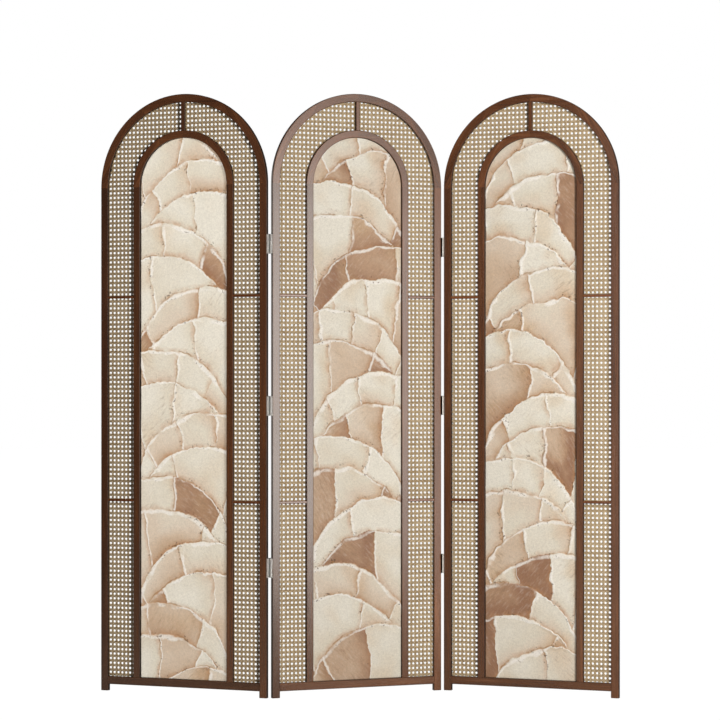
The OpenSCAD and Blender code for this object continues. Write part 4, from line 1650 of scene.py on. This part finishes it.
WHITE = (1.0, 1.0, 1.0)
WARM_WHITE = (1.0, 0.95, 0.89)
MAIN_PLACE = (3.2, -4.6, 2.4)
SCREEN_CENTRE = (0.0, 0.0, 0.9)


@dataclass(frozen=True)
class Softbox:
    """One area light: its place, what it looks at, its size, strength and colour, and what it lights."""

    name: str
    place: tuple[float, float, float]
    target: tuple[float, float, float]
    width: float
    height: float
    power: float
    colour: tuple[float, float, float] = WARM_WHITE
    shows_in_gloss: bool = True
    only: tuple[str, ...] = ()
    skips: tuple[str, ...] = ()

    def build(self) -> None:
        """Adds the light."""
        light = bpy.data.lights.new(self.name, "AREA")
        light.shape = "RECTANGLE"
        light.size, light.size_y = self.width, self.height
        light.energy = self.power
        light.color = self.colour
        obj = put_in_scene(self.name, light)
        obj.location = self.place
        aim = Vector(self.target) - Vector(self.place)
        obj.rotation_euler = aim.to_track_quat("-Z", "Y").to_euler()
        obj.visible_camera = False
        obj.visible_glossy = self.shows_in_gloss
        if self.only or self.skips:
            self.choose_pieces(obj)
        LOG.info("lit %s", self.name)

    def choose_pieces(self, obj: bpy.types.Object) -> None:
        """Lets the light fall on some pieces only, or on all but some."""
        receivers = bpy.data.collections.new(self.name + "_receivers")
        for name in self.only or self.skips:
            receivers.objects.link(bpy.data.objects[name])
        for item in receivers.collection_objects:
            item.light_linking.link_state = "INCLUDE" if self.only else "EXCLUDE"
        obj.light_linking.receiver_collection = receivers


@dataclass(frozen=True)
class Studio:
    """Pale floor, white surroundings, softboxes, and the camera at the photograph's viewpoint."""

    floor_size: float = 60.0
    floor_colour: Colour = tint("#a8a29b")
    floor_strength: float = 1.08
    floor_share: float = 0.93
    ambient: float = 0.05
    ambient_colour: Colour = (1.0, 0.995, 0.985, 1.0)
    camera_place: tuple[float, float, float] = (-0.079125, -7.746979, 0.923389)
    lens: float = 129.095
    sensor: float = 36.0
    shift: tuple[float, float] = (0.04054, 0.03655)
    softboxes: tuple[Softbox, ...] = (
        Softbox("key", (1.95, -2.7, 0.97), (1.95, 0.0, 0.97), 2.4, 1.72, 50.0),
        Softbox("high_key", (1.95, -2.7, 2.3), (1.95, 0.0, 2.3), 2.4, 0.94, 8.0),
        Softbox("main", MAIN_PLACE, SCREEN_CENTRE, 0.7, 0.7, 150.0, shows_in_gloss=False),
        Softbox("side_main", MAIN_PLACE, SCREEN_CENTRE, 0.7, 0.7, 75.0, shows_in_gloss=False,
                only=SIDE_PIECES),
        Softbox("left_coat_light", (-4.7, -2.9, 2.4), (-0.5, 0.0, 0.9), 0.7, 0.7, 185.0,
                shows_in_gloss=False, only=("left_plaster_coat",)),
        Softbox("front_fill", (-0.175, -2.7, 1.1), (-0.175, 0.0, 1.1), 1.85, 2.0, 17.0,
                skips=(*WEBBINGS, *COATS)),
        Softbox("soft_fill", (-1.5, -3.4, 1.7), (-0.2, 0.0, 0.9), 1.6, 1.6, 50.0, (1.0, 0.86, 0.74),
                shows_in_gloss=False, skips=(*WEBBINGS, *COATS)),
        Softbox("back_fill", (0.5, 4.5, 2.6), SCREEN_CENTRE, 3.0, 2.4, 60.0, WHITE, shows_in_gloss=False),
        Softbox("back_key", (-1.95, 2.9, 1.2), (-0.2, 0.0, 0.9), 2.4, 1.8, 60.0),
    )

    def build(self) -> None:
        """Builds the floor, the surroundings, the lights and the camera."""
        self.build_floor()
        self.build_world()
        for box in self.softboxes:
            box.build()
        self.build_camera()

    def build_floor(self) -> None:
        """Adds the plain pale floor."""
        half = self.floor_size / 2
        corners = [(-half, -half, 0), (half, -half, 0), (half, half, 0), (-half, half, 0)]
        mesh = bpy.data.meshes.new("floor")
        mesh.from_pydata(corners, [], [(0, 1, 2, 3)])
        tree, shader = start_material("pale_floor")
        tree.fill(shader, Base_Color=self.floor_colour, Roughness=0.9)
        bright = tree.add("ShaderNodeEmission", {"Strength": self.floor_strength})
        tree.for_camera(shader, bright, self.floor_share, "Material Output")
        mesh.materials.append(tree.material)
        put_in_scene("floor", mesh)

    def build_world(self) -> None:
        """Makes the surroundings white to the camera and dimmer as a light."""
        world = bpy.data.worlds.new("studio")
        bpy.context.scene.world = world
        world.use_nodes = True
        tree = Tree(world.node_tree)
        plain = world.node_tree.nodes["Background"]
        tree.fill(plain, Color=self.ambient_colour, Strength=self.ambient)
        bright = tree.add("ShaderNodeBackground", {"Color": (*WHITE, 1.0), "Strength": 1.0})
        tree.for_camera(plain, bright, 1.0, "World Output")

    def build_camera(self) -> None:
        """Adds the level camera that sees the screen as the photograph does."""
        data = bpy.data.cameras.new("camera")
        data.lens, data.sensor_width = self.lens, self.sensor
        data.shift_x, data.shift_y = self.shift
        camera = put_in_scene("camera", data)
        camera.location = self.camera_place
        camera.rotation_euler = (math.radians(90), 0.0, 0.0)
        bpy.context.scene.camera = camera
        bpy.context.scene.view_settings.view_transform = "Standard"


# ---- The whole screen ----


@dataclass(frozen=True)
class PanelLook:
    """What differs between the panels: the plaster's design and tone, and the webbing's tone and places."""

    plaster_start: float
    plaster_seed: int
    plaster_lightness: float
    cane_lightness: float
    cane_shifts: tuple[tuple[float, float], tuple[float, float]]


PANEL_LOOKS = {"left": PanelLook(0.2, 41, 0.9, 1.25, ((0.36, 0.54), (0.58, 0.6))),
               "middle": PanelLook(0.85, 42, 0.87, 1.25, ((0.554, 0.6), (0.736, 0.54))),
               "right": PanelLook(0.5, 43, 0.94, 1.27, ((0.763, 0.54), (0.307, 0.6)))}


def main() -> None:
    """Builds the panels, the hinges and the studio in order."""
    logging.basicConfig(level=logging.INFO, format="%(name)s: %(message)s", stream=sys.stdout)
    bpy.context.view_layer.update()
    groups = SharedGroups.build()
    weave, webbing = Weave(), Webbing().build()
    for name, look in PANEL_LOOKS.items():
        panel = Panel.read(name)
        Joinery(panel, groups).dress()
        cane = CaneFinish(lightness=look.cane_lightness).material(f"cane_{name}", groups)
        for side, shifts in zip(SIDES, look.cane_shifts):
            CaneBorder(panel, side, weave, *shifts).build(webbing, cane)
        plaster = PlasterFinish(look.plaster_lightness).material(f"plaster_{name}", groups)
        PlasterCoat(panel, look.plaster_start, look.plaster_seed).build(plaster)
    screw, screw_tree = Screw(), make_screw_tree()
    for junction in JUNCTIONS:
        Hinges(junction, groups).dress(screw, screw_tree)
    Studio().build()


if __name__ == "__main__":
    main()
